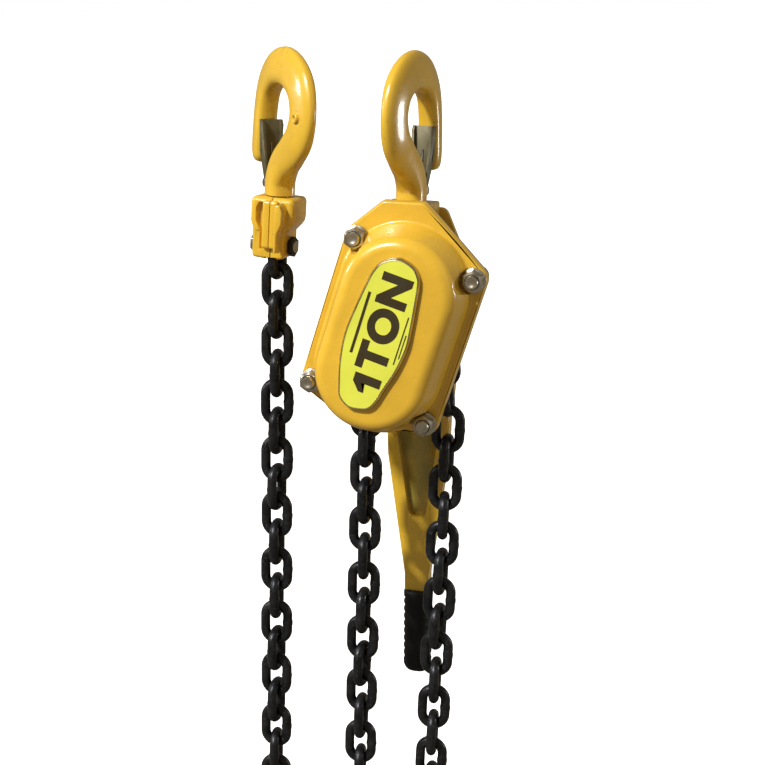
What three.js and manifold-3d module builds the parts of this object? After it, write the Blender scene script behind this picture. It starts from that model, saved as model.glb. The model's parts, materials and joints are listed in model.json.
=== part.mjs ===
// Lever chain hoist, one tonne class, with 6 x 18 mm load chain.
// Millimetres, +Z up, front of the hoist towards -Y. The origin is the saddle of the top hook,
// where the hook rests on whatever holds the hoist up.
import * as THREE from 'three';
import { mergeVertices } from 'three/addons/utils/BufferGeometryUtils.js';
import Module from 'manifold-3d';

const wasm = await Module();
wasm.setup();

// ---------------------------------------------------------------- driving dimensions
const GAP = 0.3; // between pieces that touch on the real hoist
const TURN = 2 * Math.PI;
const DEG = Math.PI / 180;

const CHAIN_WIDTH = 19.5;
const CHAIN_WEB = 3; // thickness of the cross that stands for the links, close to their real mass
const SHEAVE_PITCH_R = 22.5;

const SHAFT = { x: -2.5, z: -133 }; // the main shaft's axis, which runs along Y
const BODY = { x: -3.5, z: -131.8, tilt: 16.5 * DEG }; // middle and lean of the gear case
const BOLT_HALF = { across: 35, along: 44 };

const COVER_FRONT_Y = -26;
const COVER_BACK_Y = -20;
const DOME_FRONT_Y = -50;
const GEAR_PLATE_Y = [-19.7, -15.7];
const BAY_Y = [-15.4, 13.4];
const LEVER_PLATE_Y = [13.7, 17.7];
const BRAKE_COVER_Y = [18, 35.8];
const LEVER_Y = [36.3, 50];
const ARM_Y = [39.7, 49.2];
const TANG_Y = [41.2, 47.7];
const HEAD_COVER_Y = [50.3, 53.3];
const HAND_WHEEL_Y = [55, 70];
const CASTLE_NUT_Y = [76.3, 82];

const DOME = { up: 25.3, down: 22, baseR: 36, topR: 29.5, wall: 4 };
const PLATE_THICK = 3;

const DRIVE_SHAFT_R = 6;
const DRIVE_BORE_R = 6.3;
const GEAR_MODULE = 1.5;
const GEAR_CENTRES = 27;
const PINION_TEETH = 12;
const WHEEL_TEETH = 24;
const RATCHET_TEETH = 12;
const PAWL_POST = { radius: 25.5, pin: 2.3, eye: 4.1 };
const PAWL_ANGLES = { left: 160 * DEG, right: 340 * DEG };

const LEVER = { tilt: 1.23 * DEG, headR: 27, length: 240, gripStart: 184, stepDown: 78 };
const SELECTOR_DROP = 31;

const HOOK_SWIVEL = { top: -10.6 * DEG, bottom: 42.7 * DEG };
const HOOK_FALL_X = -79.5;
const LOAD_FALL_X = -23.3;
const TAIL_X = { exit: 26, joint: 23.9, end: 21.5 };
const YOKE_BOLT_Z = -91.5;
const YOKE_TURN = -4 * DEG;
const YOKE_LEG = { left: 12, right: 8 }; // reach of the legs under the shoulders, head side and nut side
const BOTTOM_LEAN = 2.5 * DEG; // of the bottom hook and its yoke, about the yoke bolt
const BIGHT_Z = -667;
const LOAD_EXIT_Z = -199;
const TAIL_EXIT_Z = -190;
const TAIL_JOINT_Z = -330;
const TAIL_END_Z = -486;
const SWING_GAP = 1.8; // left at each side of a place where the chain swings

// ---------------------------------------------------------------- colours and finishes
const finish = (color, roughness, metalness) =>
  new THREE.MeshStandardMaterial({ color, roughness, metalness });
const YELLOW = finish(0xe0a21c, 0.35, 0.1);
const ZINC = finish(0xb0a898, 0.4, 0.85);
const STEEL = finish(0x8d8d88, 0.45, 0.9);
const LATCH_STEEL = finish(0x77714f, 0.45, 0.7);
const BLACK_STEEL = finish(0x1c1c1e, 0.5, 0.6);
const RUBBER = finish(0x141416, 0.8, 0);
const LABEL = finish(0xd8e63c, 0.4, 0.1);
const FRICTION = finish(0x6b4a34, 0.9, 0);

// ---------------------------------------------------------------- general helpers
const hoist = new THREE.Group();

function solid(geometry) {
  const bare = geometry.clone();
  bare.deleteAttribute('normal');
  bare.deleteAttribute('uv');
  const merged = mergeVertices(bare, 1e-4);
  const index = merged.index.array;
  const kept = [];
  for (let i = 0; i < index.length; i += 3) {
    const [a, b, c] = [index[i], index[i + 1], index[i + 2]];
    if (a !== b && b !== c && c !== a) kept.push(a, b, c);
  }
  const vertProperties = new Float32Array(merged.attributes.position.array);
  const triVerts = new Uint32Array(kept);
  return new wasm.Manifold(new wasm.Mesh({ numProp: 3, vertProperties, triVerts }));
}

function toGeometry(manifold) {
  const mesh = manifold.getMesh();
  const geometry = new THREE.BufferGeometry();
  geometry.setAttribute('position', new THREE.BufferAttribute(mesh.vertProperties, 3));
  geometry.setIndex(new THREE.BufferAttribute(mesh.triVerts, 1));
  const flat = geometry.toNonIndexed();
  flat.computeVertexNormals();
  return flat;
}

const union = (first, ...rest) => rest.reduce((sum, g) => sum.add(solid(g)), solid(first));
const cut = (body, ...tools) => tools.reduce((left, g) => left.subtract(solid(g)), body);

function add(name, shape, material, parent = hoist) {
  const geometry = shape.isBufferGeometry ? shape : toGeometry(shape);
  const mesh = new THREE.Mesh(geometry, material);
  mesh.name = name;
  parent.add(mesh);
  return mesh;
}

// The outline round a ring of discs [x, z, r], taken counter-clockwise, as a string pulled tight.
function roundedOutline(discs) {
  const normals = discs.map(([x, z, r], i) => {
    const [nextX, nextZ, nextR] = discs[(i + 1) % discs.length];
    const [dx, dz] = [nextX - x, nextZ - z];
    const length = Math.hypot(dx, dz);
    const lean = (r - nextR) / length;
    const side = Math.sqrt(1 - lean * lean);
    return Math.atan2((dz * lean - dx * side) / length, (dx * lean + dz * side) / length);
  });
  const shape = new THREE.Shape();
  discs.forEach(([x, z, r], i) => {
    const start = normals[(i + discs.length - 1) % discs.length];
    shape.absarc(x, z, r, start, normals[i], false);
  });
  shape.closePath();
  return shape;
}

// A shape drawn in X and Z, made solid from y0 to y1.
function slab(shape, [y0, y1], curveSegments = 3) {
  const geometry = new THREE.ExtrudeGeometry(shape, { depth: y1 - y0, bevelEnabled: false, curveSegments });
  return geometry.rotateX(Math.PI / 2).translate(0, y1, 0);
}

function disc(r, [y0, y1], x = SHAFT.x, z = SHAFT.z, segments = 24) {
  return new THREE.CylinderGeometry(r, r, y1 - y0, segments).translate(x, (y0 + y1) / 2, z);
}

function turned(profile, segments = 24) {
  return new THREE.LatheGeometry(profile.map(([r, y]) => new THREE.Vector2(r, y)), segments);
}

function ring(rIn, rOut, [y0, y1], x = SHAFT.x, z = SHAFT.z, segments = 24) {
  const profile = [[rIn, y0], [rOut, y0], [rOut, y1], [rIn, y1], [rIn, y0]];
  return turned(profile, segments).translate(x, 0, z);
}

function box([x0, x1], [y0, y1], [z0, z1]) {
  const size = new THREE.BoxGeometry(x1 - x0, y1 - y0, z1 - z0);
  return size.translate((x0 + x1) / 2, (y0 + y1) / 2, (z0 + z1) / 2);
}

// A point given across and along the leaning gear case.
function onBody(across, along, origin = BODY) {
  const [c, s] = [Math.cos(BODY.tilt), Math.sin(BODY.tilt)];
  return [origin.x + across * c + along * s, origin.z - across * s + along * c];
}

// A toothed outline round (x, z), with the middle of one tooth at the angle given.
function toothed(x, z, teeth, tipR, rootR, halfAngle, toothAngle) {
  const shape = new THREE.Shape();
  for (let i = 0; i < teeth; i++) {
    const middle = toothAngle + (i * TURN) / teeth;
    const corners = [
      [rootR, middle - halfAngle(rootR)],
      [tipR, middle - halfAngle(tipR)],
      [tipR, middle + halfAngle(tipR)],
      [rootR, middle + halfAngle(rootR)],
    ];
    corners.forEach(([r, a], k) => {
      const point = [x + r * Math.cos(a), z + r * Math.sin(a)];
      if (i === 0 && k === 0) shape.moveTo(...point);
      else shape.lineTo(...point);
    });
  }
  shape.closePath();
  return shape;
}

// An involute-flanked spur gear, a little thin in the tooth so that it runs freely.
function gear(x, z, teeth, toothAngle) {
  const pitchR = (teeth * GEAR_MODULE) / 2;
  const pressure = 25 * DEG;
  const baseR = pitchR * Math.cos(pressure);
  const involute = (a) => Math.tan(a) - a;
  const backlash = 0.16 / pitchR;
  const halfAngle = (r) => {
    const turn = r > baseR ? involute(Math.acos(baseR / r)) : 0;
    return Math.PI / (2 * teeth) - backlash + involute(pressure) - turn;
  };
  const [tipR, rootR] = [pitchR + 0.85 * GEAR_MODULE, pitchR - 1.2 * GEAR_MODULE];
  return toothed(x, z, teeth, tipR, rootR, halfAngle, toothAngle);
}

// A bar swept along points [u, z, width, thickness, back] in the YZ plane. Width is in the plane,
// and back is how thick the outer edge is as a share of the inner edge.
function sweptBar(stations, steps, sides) {
  const curve = new THREE.CatmullRomCurve3(
    stations.map(([u, z]) => new THREE.Vector3(0, u, z)), false, 'centripetal');
  const bar = new THREE.CylinderGeometry(1, 1, 1, sides, steps);
  const place = bar.attributes.position;
  for (let i = 0; i < place.count; i++) {
    const t = Math.min(1, Math.max(0, place.getY(i) + 0.5));
    const at = t * (stations.length - 1);
    const low = Math.min(stations.length - 2, Math.floor(at));
    const mix = (k) => THREE.MathUtils.lerp(stations[low][k], stations[low + 1][k], at - low);
    const centre = curve.getPoint(t);
    const along = curve.getTangent(t);
    const square = (v) => Math.sign(v) * Math.abs(v) ** 0.7;
    const [inward, aside] = [square(place.getX(i)), square(place.getZ(i))];
    const inPlane = inward * mix(2) / 2;
    const across = aside * THREE.MathUtils.lerp(mix(4), 1, (1 + inward) / 2) * mix(3) / 2;
    place.setXYZ(i, across, centre.y + inPlane * along.z, centre.z - inPlane * along.y);
  }
  return bar;
}

// ---------------------------------------------------------------- hooks and latches
const HOOK_STATIONS = [
  [0, -62, 16.4, 16.4, 1],
  [0, -54, 16.6, 16.4, 1],
  [-5.5, -44, 18.5, 16.6, 0.85],
  [-16.5, -35, 20, 16.6, 0.6],
  [-25.5, -25.5, 20.5, 16.4, 0.45],
  [-28.8, -13, 20.5, 16.2, 0.42],
  [-24.5, 0, 21, 16.2, 0.42],
  [-13.5, 8.2, 21.5, 16.2, 0.42],
  [0, 10.9, 21.6, 16, 0.42],
  [13.5, 7.6, 20.5, 15.6, 0.45],
  [22.8, -1.6, 18.5, 15.2, 0.5],
  [26, -14, 16, 14.8, 0.6],
  [26.6, -28, 14.6, 14.6, 0.7],
  [26.2, -39, 13, 14.2, 0.8],
  [25.6, -46.5, 10.5, 12, 0.85],
];
const LATCH = { pivotU: 11, pivotZ: -56.5, tipU: 15.3, tipZ: -20.5, width: 13.4, sheet: 1.4 };

function hookBody(shankEndZ, flangeZ) {
  const shank = new THREE.CylinderGeometry(5.8, 5.8, 64, 16).rotateX(Math.PI / 2);
  shank.scale(1, 1, (-62.5 - shankEndZ + 1) / 64).translate(0, 0, (shankEndZ - 61.5) / 2);
  const lug = box([-2.1, 2.1], [5, LATCH.pivotU + 2.6], [-59.4, -53.6]);
  const pieces = [shank, lug];
  if (flangeZ) {
    const height = flangeZ[1] - flangeZ[0];
    const flange = new THREE.CylinderGeometry(8.4, 8.4, height, 16).rotateX(Math.PI / 2);
    pieces.push(flange.translate(0, 0, (flangeZ[0] + flangeZ[1]) / 2));
  }
  const rivetHole = new THREE.CylinderGeometry(1.9, 1.9, 12, 12).rotateZ(Math.PI / 2);
  return cut(union(sweptBar(HOOK_STATIONS, 30, 12), ...pieces),
    rivetHole.translate(0, LATCH.pivotU, LATCH.pivotZ));
}

// A pressed channel: a flat face towards the hook's point and two sides turned in towards the bowl.
function latchBody() {
  const [side, foot, faceZ] = [LATCH.width / 2, 3.9, -2.6];
  const length = Math.hypot(LATCH.tipU - LATCH.pivotU, LATCH.tipZ - LATCH.pivotZ);
  const wide = length * 0.5;
  const face = new THREE.Shape([
    [-foot, 4.6], [foot, 4.6], [side, wide], [side, length], [-side, length], [-side, wide],
  ].map(([x, y]) => new THREE.Vector2(x, y)));
  const plate = new THREE.ExtrudeGeometry(face, { depth: LATCH.sheet, bevelEnabled: false });
  plate.translate(0, 0, faceZ);
  const cheekShape = new THREE.Shape([
    [faceZ, -2.2], [-1.4, -3], [1.2, -3], [2.3, -2], [2.3, 4], [1.6, 9], [1.6, length - 3], [0, length],
    [faceZ, length], [faceZ, wide], [faceZ, 4],
  ].map(([z, y]) => new THREE.Vector2(z, y)));
  const cheeks = [-1, 1].map((hand) => {
    const cheek = new THREE.ExtrudeGeometry(cheekShape, { depth: LATCH.sheet, bevelEnabled: false });
    cheek.rotateY(-Math.PI / 2).translate(hand > 0 ? foot : LATCH.sheet - foot, 0, 0);
    const spread = cheek.attributes.position;
    for (let i = 0; i < spread.count; i++) {
      const widening = THREE.MathUtils.clamp((spread.getY(i) - 4) / (wide - 4), 0, 1);
      spread.setX(i, spread.getX(i) + hand * widening * (side - foot));
    }
    return cheek;
  });
  const pivotHole = new THREE.CylinderGeometry(1.9, 1.9, 16, 12).rotateZ(Math.PI / 2);
  const headSeats = [-1, 1].map((hand) => new THREE.CylinderGeometry(3, 3, 4, 12)
    .rotateZ(Math.PI / 2).translate(hand * (foot + 2), 0, 0));
  const latch = cut(union(plate, ...cheeks), pivotHole, ...headSeats);
  const lean = Math.atan2(LATCH.tipU - LATCH.pivotU, LATCH.tipZ - LATCH.pivotZ);
  return toGeometry(latch).rotateX(Math.PI / 2 - lean).translate(0, LATCH.pivotU, LATCH.pivotZ);
}

function latchRivet() {
  const half = 5.4;
  const profile = [[0, -half], [2.6, -half], [2.6, 1.2 - half], [1.6, 1.2 - half],
    [1.6, half - 1.2], [2.6, half - 1.2], [2.6, half], [0, half]];
  return turned(profile, 12).rotateZ(Math.PI / 2).translate(0, LATCH.pivotU, LATCH.pivotZ);
}

// The bottom hook and its yoke hang from the end of the chain, a little out of plumb.
const bottomEnd = new THREE.Group();
bottomEnd.position.set(HOOK_FALL_X, 0, YOKE_BOLT_Z);
bottomEnd.rotation.y = BOTTOM_LEAN;
hoist.add(bottomEnd);

function turnedSet(parent, swivel) {
  const set = new THREE.Group();
  set.rotation.z = swivel;
  if (parent === bottomEnd) set.position.z = -YOKE_BOLT_Z;
  parent.add(set);
  return set;
}

function hookSet(prefix, parent, swivel, shankEndZ, flangeZ) {
  const set = turnedSet(parent, swivel);
  add(`${prefix}_hook`, hookBody(shankEndZ, flangeZ), YELLOW, set);
  add(`${prefix}_latch`, latchBody(), LATCH_STEEL, set);
  add(`${prefix}_latch_rivet`, latchRivet(), STEEL, set);
}

hookSet('top', hoist, HOOK_SWIVEL.top, -80.5, null);
hookSet('bottom', bottomEnd, HOOK_SWIVEL.bottom, -77, [-76.5, -70.5]);

// The top hook's shank turns in the yoke and is held from below by a round nut.
{
  const bore = new THREE.CylinderGeometry(6.1, 6.1, 40, 24).rotateX(Math.PI / 2).translate(0, 0, -70);
  const well = new THREE.CylinderGeometry(9.3, 9.3, 20, 24).rotateX(Math.PI / 2).translate(0, 0, -83);
  const block = box([-14, 14], BAY_Y, [-84, -62.3]);
  add('top_yoke', cut(union(block), bore, well), YELLOW);
  add('top_shank_nut', ring(6.1, 9, [-80.2, -73.4], 0, 0, 24).rotateX(Math.PI / 2), STEEL);
}

// ---------------------------------------------------------------- gear case
const NUT_PLACES = {
  upper_left: onBody(-BOLT_HALF.across, BOLT_HALF.along),
  upper_right: onBody(BOLT_HALF.across, BOLT_HALF.along),
  lower_left: onBody(-BOLT_HALF.across, -BOLT_HALF.along),
  lower_right: onBody(BOLT_HALF.across, -BOLT_HALF.along),
};

function caseOutline(inset) {
  const corner = 7.4 - inset;
  const { upper_left, upper_right, lower_left, lower_right } = NUT_PLACES;
  return roundedOutline([
    [...lower_left, corner],
    [...onBody(-8, -50), 10 - inset],
    [...lower_right, corner],
    [...upper_right, corner],
    [12.5, -61, 2.5 - inset],
    [-9.5, -61, 2.5 - inset],
    [...upper_left, corner],
  ]);
}

// A turned shape pulled apart along the case's lean, so that its rings become long rounds.
function stretched(profile) {
  const shape = turned(profile, 32);
  shape.rotateY(BODY.tilt);
  const place = shape.attributes.position;
  const [upX, upZ] = [Math.sin(BODY.tilt), Math.cos(BODY.tilt)];
  for (let i = 0; i < place.count; i++) {
    const [x, z] = [place.getX(i), place.getZ(i)];
    const along = x * upX + z * upZ;
    const reach = Math.min(1, Math.hypot(x, z) / 4);
    const shift = reach * (along > 1e-3 ? DOME.up : -DOME.down);
    place.setXYZ(i, x + shift * upX, place.getY(i), z + shift * upZ);
  }
  return shape.translate(BODY.x, 0, BODY.z);
}

function domeProfile(inset, backY) {
  const front = DOME_FRONT_Y + inset;
  const [base, top] = [DOME.baseR - inset, DOME.topR - inset];
  return [
    [0, front], [top - 4, front], [top, front + 1.4], [top + 3, front + 5.5],
    [base - 1.2, -30], [base, backY], [0, backY],
  ];
}

{
  const flange = slab(caseOutline(0), [COVER_FRONT_Y, COVER_BACK_Y]);
  const studHoles = Object.values(NUT_PLACES).map(([x, z]) => disc(4.1, [-30, -10], x, z, 12));
  const nutSeats = Object.values(NUT_PLACES).map(([x, z]) => disc(7.6, [-60, COVER_FRONT_Y], x, z, 20));
  const shell = cut(
    union(stretched(domeProfile(0, COVER_BACK_Y))),
    ...nutSeats,
    stretched(domeProfile(DOME.wall, -15)),
  );
  const inside = stretched(domeProfile(DOME.wall, -15));
  add('gear_cover', shell.add(cut(union(flange), inside, ...studHoles)), YELLOW);
  add('gear_side_plate', cut(
    union(slab(caseOutline(0.8), GEAR_PLATE_Y)),
    disc(16.2, [-25, -10]),
    ...Object.values(NUT_PLACES).map(([x, z]) => disc(4.1, [-30, -10], x, z, 12)),
    ...[-1, 1].map((hand) => disc(4.4, [-25, -10], ...onBody(0, hand * GEAR_CENTRES, SHAFT), 12)),
    ...rollerPlaces().map(([x, z]) => disc(2.7, [-25, -10], x, z, 12)),
  ), BLACK_STEEL);
}

// The nameplate is a long lozenge with round ends.
{
  const outline = roundedOutline([
    [...onBody(-1, -31.5), 13.2],
    [...onBody(16.5, 1), 2],
    [...onBody(-1, 35), 12.2],
    [...onBody(-16.5, -4), 2],
  ]);
  add('nameplate', slab(outline, [DOME_FRONT_Y - GAP - PLATE_THICK, DOME_FRONT_Y - GAP]), LABEL);
}

for (const [place, [x, z]] of Object.entries(NUT_PLACES)) {
  const stud = turned([[0, -37.2], [2.4, -36.6], [3.8, -34.4], [3.8, -15.4], [6, -15.4], [6, -11.6], [0, -11.6]], 16);
  add(`cover_stud_${place}`, stud.translate(x, 0, z), ZINC);
  const hex = new THREE.CylinderGeometry(6.3, 6.3, 5.6, 6).translate(x, -30.9, z);
  const washer = disc(6.9, [-28.1, -26.3], x, z, 20);
  add(`cover_nut_${place}`, cut(union(hex, washer), disc(4.1, [-40, -20], x, z, 16)), ZINC);
}

// ---------------------------------------------------------------- frame inside the case
function rollerPlaces() {
  const reach = SHEAVE_PITCH_R + CHAIN_WIDTH / 2 + 0.5 + 5;
  return [140 * DEG, 40 * DEG].map((a) => [SHAFT.x + reach * Math.cos(a), SHAFT.z + reach * Math.sin(a)]);
}

const STAYS = { left: [-26, -90], right: [19, -84], lower: [0, -179.5] };
const postPlace = (angle) => [
  SHAFT.x + PAWL_POST.radius * Math.cos(angle),
  SHAFT.z + PAWL_POST.radius * Math.sin(angle),
];

{
  const outline = roundedOutline([
    [-41, -151, 8],
    [-8, -179, 8],
    [4, -179, 8],
    [22, -135, 8],
    [25, -103, 8],
    [14.3, -71.5, 5],
    [-14.3, -71.5, 5],
    [-31, -92, 7],
  ]);
  const rivets = [-11.5, 11.5].map((x) => new THREE.SphereGeometry(2.8, 16, 8).scale(1, 0.8, 1)
    .translate(x, LEVER_PLATE_Y[1], -72.8));
  const posts = Object.values(PAWL_ANGLES).map((a) => disc(PAWL_POST.pin, [17, 32.4], ...postPlace(a), 16));
  add('lever_side_plate', cut(
    union(slab(outline, LEVER_PLATE_Y), ...posts, ...rivets),
    disc(16.2, [10, 20]),
    ...rollerPlaces().map(([x, z]) => disc(2.7, [10, 20], x, z, 12)),
  ), YELLOW);
}

for (const [name, [x, z]] of Object.entries(STAYS)) {
  add(`frame_stay_${name}`, disc(4.5, BAY_Y, x, z, 16), STEEL);
}

['left', 'right'].forEach((hand, i) => {
  const [x, z] = rollerPlaces()[i];
  const profile = [[0, -19.4], [2.4, -19.4], [2.4, -12], [5, -12], [5, 10], [2.4, 10], [2.4, 17.4], [0, 17.4]];
  add(`guide_roller_${hand}`, turned(profile, 16).translate(x, 0, z), STEEL);
});

// The stripper stands between the falls, with a fin in the sheave's groove.
{
  const fin = roundedOutline([[SHAFT.x - 8, -167, 1], [SHAFT.x + 8, -167, 1], [SHAFT.x, -149, 1.5]]);
  const foot = box([SHAFT.x - 8.5, SHAFT.x + 8.5], BAY_Y, [-172, -164]);
  add('chain_stripper', union(foot, slab(fin, [-2.2, 2.2])), STEEL);
}

// ---------------------------------------------------------------- sheave, bearings and gear train
{
  const profile = [
    [DRIVE_BORE_R, -26], [9, -26], [9, -19.9], [12, -19.9], [12, -12.6], [25, -12.6], [25, -10.4],
    [19.3, -9.6], [19.3, -3.8], [12.6, -3.8], [12.6, 3.8], [19.3, 3.8], [19.3, 9.6], [25, 10.4],
    [25, 12.6], [12, 12.6], [12, 17.2], [DRIVE_BORE_R, 17.2], [DRIVE_BORE_R, -26],
  ];
  const wheel = union(turned(profile).translate(SHAFT.x, 0, SHAFT.z));
  const pockets = [0, 1, 2, 3].map((i) => {
    const pocket = box([-8.6, 8.6], [-8.2, 8.2], [17.2, 24]);
    return pocket.rotateY((i * TURN) / 4 + TURN / 8).translate(SHAFT.x, 0, SHAFT.z);
  });
  add('load_sheave', cut(wheel, ...pockets), STEEL);
}
add('gear_side_bearing', ring(12.2, 16, [-19.6, -15.9]), ZINC);
add('lever_side_bearing', ring(12.2, 16, [13.8, 17.6]), ZINC);

const UP_ANGLE = Math.PI / 2 - BODY.tilt;
add('load_gear', cut(
  union(slab(gear(SHAFT.x, SHAFT.z, WHEEL_TEETH, UP_ANGLE), [-26, -20.4])),
  disc(9.3, [-30, -15]),
), STEEL);

for (const [name, hand] of [['upper', 1], ['lower', -1]]) {
  const [x, z] = onBody(0, hand * GEAR_CENTRES, SHAFT);
  const facing = hand > 0 ? UP_ANGLE + Math.PI : UP_ANGLE;
  const wheel = slab(gear(x, z, WHEEL_TEETH, facing + Math.PI / WHEEL_TEETH), [-38, -32]);
  const pinion = slab(gear(x, z, PINION_TEETH, facing + Math.PI / PINION_TEETH), [-32.5, -20.4]);
  const journal = disc(4, [-43, -15.7], x, z, 16);
  add(`disc_gear_${name}`, union(wheel, pinion, journal), STEEL);
}

{
  const pinion = slab(gear(SHAFT.x, SHAFT.z, PINION_TEETH, UP_ANGLE), [-38, -32]);
  const shaft = disc(DRIVE_SHAFT_R, [-43, 84], SHAFT.x, SHAFT.z, 24);
  add('drive_shaft', union(shaft, pinion), STEEL);
}

// ---------------------------------------------------------------- load brake
add('friction_hub', union(ring(DRIVE_BORE_R, 17, [18.3, 21.3]), ring(DRIVE_BORE_R, 9.5, [21, 30])), STEEL);
add('friction_disc_inner', ring(9.8, 16.8, [21.6, 23.6]), FRICTION);
add('friction_disc_outer', ring(9.8, 16.8, [28.2, 30.2]), FRICTION);

{
  const halfAngle = (r) => THREE.MathUtils.mapLinear(r, 17.2, 20, 9.5, 3.2) * DEG;
  const gapTowardsPawl = PAWL_ANGLES.left - 29 * DEG;
  const teeth = toothed(SHAFT.x, SHAFT.z, RATCHET_TEETH, 20, 17.2, halfAngle, gapTowardsPawl + 15 * DEG);
  add('ratchet_disc', cut(union(slab(teeth, [23.9, 27.9])), disc(9.8, [20, 30])), STEEL);
}

for (const [hand, angle] of Object.entries(PAWL_ANGLES)) {
  const [x, z] = postPlace(angle);
  const polar = (r, turn) => [SHAFT.x + r * Math.cos(angle - turn), SHAFT.z + r * Math.sin(angle - turn)];
  const elbow = [...polar(23.3, 20 * DEG), 1.8];
  const arm = roundedOutline([elbow, [x, z, PAWL_POST.eye]]);
  const nose = roundedOutline([[...polar(19.3, 29 * DEG), 0.9], elbow]);
  const eye = disc(PAWL_POST.pin + 0.2, [20, 30], x, z, 16);
  add(`brake_pawl_${hand}`, cut(union(slab(arm, [23.9, 27.9]), slab(nose, [23.9, 27.9])), eye), STEEL);
}

{
  const profile = [
    [10, 33.2], [30.4, 33.2], [30.4, BRAKE_COVER_Y[0]], [33, BRAKE_COVER_Y[0]],
    [33, 33.5], [30.6, BRAKE_COVER_Y[1]], [10, BRAKE_COVER_Y[1]], [10, 33.2],
  ];
  add('brake_cover', turned(profile, 32).translate(SHAFT.x, 0, SHAFT.z), YELLOW);
}

// ---------------------------------------------------------------- lever head
// Across and along the lever, from the main shaft down towards the grip.
function onLever(across, down) {
  const [c, s] = [Math.cos(LEVER.tilt), Math.sin(LEVER.tilt)];
  return [SHAFT.x + across * c + down * s, SHAFT.z + across * s - down * c];
}

{
  const hub = ring(DRIVE_BORE_R, 9, [32.5, 49.2]);
  const flange = ring(DRIVE_BORE_R, 16.8, [30.5, 33]);
  const halfAngle = (r) => THREE.MathUtils.mapLinear(r, 12.4, 15, 8.5, 4) * DEG;
  const down = -Math.PI / 2 + LEVER.tilt;
  const wheel = slab(toothed(SHAFT.x, SHAFT.z, RATCHET_TEETH, 15, 12.4, halfAngle, down + 15 * DEG), [40, 49.2]);
  const gearPart = union(hub, flange, wheel);
  add('drive_gear', cut(gearPart, disc(DRIVE_BORE_R, [25, 55])), STEEL);
}

// The tang is the narrow end of the arm, inside the grip.
function tangOutline(clear) {
  const [from, to] = [LEVER.gripStart - 36, LEVER.length - 8];
  return roundedOutline([[-2.5, from], [-2.5, to], [2.5, to], [2.5, from]]
    .map(([across, down]) => [...onLever(across, down), 3 + clear]));
}

{
  const head = roundedOutline([
    [...onLever(0, 0), LEVER.headR],
    [...onLever(-15, LEVER.stepDown - 4), 4],
    [...onLever(15, LEVER.stepDown - 4), 4],
  ]);
  const blade = roundedOutline([
    [...onLever(-16, 60), 4],
    [...onLever(-13, 92), 6],
    [...onLever(-3.8, 172), 4],
    [...onLever(3.8, 172), 4],
    [...onLever(13, 92), 6],
    [...onLever(16, 60), 4],
  ]);
  const neck = roundedOutline([
    [...onLever(-3.8, 130), 4],
    [...onLever(-3.8, LEVER.gripStart - 4.5), 4],
    [...onLever(3.8, LEVER.gripStart - 4.5), 4],
    [...onLever(3.8, 130), 4],
  ]);
  const cavity = [
    slab(roundedOutline([[SHAFT.x, SHAFT.z, 17.5], [...onLever(0, SELECTOR_DROP), 9.5]]), [39, 60]),
    slab(roundedOutline([
      [...onLever(-16.5, 14), 3], [...onLever(-9.5, SELECTOR_DROP + 6), 3.5],
      [...onLever(9.5, SELECTOR_DROP + 6), 3.5], [...onLever(16.5, 14), 3],
    ]), [39, 60]),
  ];
  const pocket = slab(roundedOutline([
    [...onLever(-9, 66), 6], [...onLever(0, 128), 6], [...onLever(9, 66), 6],
  ]), [30, ARM_Y[0] + 5]);
  const lever = union(slab(head, LEVER_Y), slab(blade, ARM_Y), slab(neck, ARM_Y), slab(tangOutline(0), TANG_Y));
  add('lever_arm', cut(lever, disc(10, [30, 45]), ...cavity, pocket), YELLOW);
}

{
  const [x, z] = onLever(0, LEVER.gripStart);
  const middle = (TANG_Y[0] + TANG_Y[1]) / 2;
  const stations = [];
  for (let i = 0; i <= 10; i++) {
    const r = i % 2 === 0 ? 9.3 : 8.5;
    stations.push([r, (-i * (LEVER.length - LEVER.gripStart - 3)) / 10]);
  }
  const profile = [[0, 0], ...stations, [6.5, -(LEVER.length - LEVER.gripStart)],
    [0, -(LEVER.length - LEVER.gripStart)]].reverse();
  const sleeve = turned(profile, 20).scale(1, 1, 1.02).rotateX(Math.PI / 2);
  sleeve.rotateY(-LEVER.tilt).translate(x, middle, z);
  const slot = slab(tangOutline(GAP), [TANG_Y[0] - GAP, TANG_Y[1] + GAP]);
  add('lever_grip', cut(union(sleeve), slot), RUBBER);
}

{
  const plate = slab(roundedOutline([[SHAFT.x, SHAFT.z, 25], [...onLever(0, SELECTOR_DROP), 14]]), HEAD_COVER_Y, 10);
  const [px, pz] = onLever(0, SELECTOR_DROP);
  add('lever_head_cover', cut(union(plate), disc(8.3, [48, 56]), disc(4, [48, 56], px, pz, 16)), YELLOW);
}

// The change-over pawl and its knob share one spindle.
{
  const [px, pz] = onLever(0, SELECTOR_DROP);
  const local = (across, up) => onLever(across, SELECTOR_DROP - up);
  const pawl = new THREE.Shape();
  [[-4, -4.5], [4, -4.5], [13, 10], [12.4, 16.2], [8, 9.5], [0, 6.5], [-8, 9.5], [-12.4, 16.2], [-13, 10]]
    .forEach(([a, u], i) => (i ? pawl.lineTo(...local(a, u)) : pawl.moveTo(...local(a, u))));
  pawl.closePath();
  const spindle = disc(3.6, [39.3, 54.5], px, pz, 16);
  add('change_over_pawl', union(slab(pawl, [40, 48.6]), spindle), STEEL);
  const knob = roundedOutline([[px, pz, 6.3], [...onLever(0, SELECTOR_DROP + 24), 4.5]]);
  const grip = slab(roundedOutline([[...onLever(0, SELECTOR_DROP + 4), 4], [...onLever(0, SELECTOR_DROP + 24), 3.4]]),
    [60, 66]);
  add('selector_knob', union(slab(knob, [54.8, 60.5]), grip), BLACK_STEEL);
}

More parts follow.
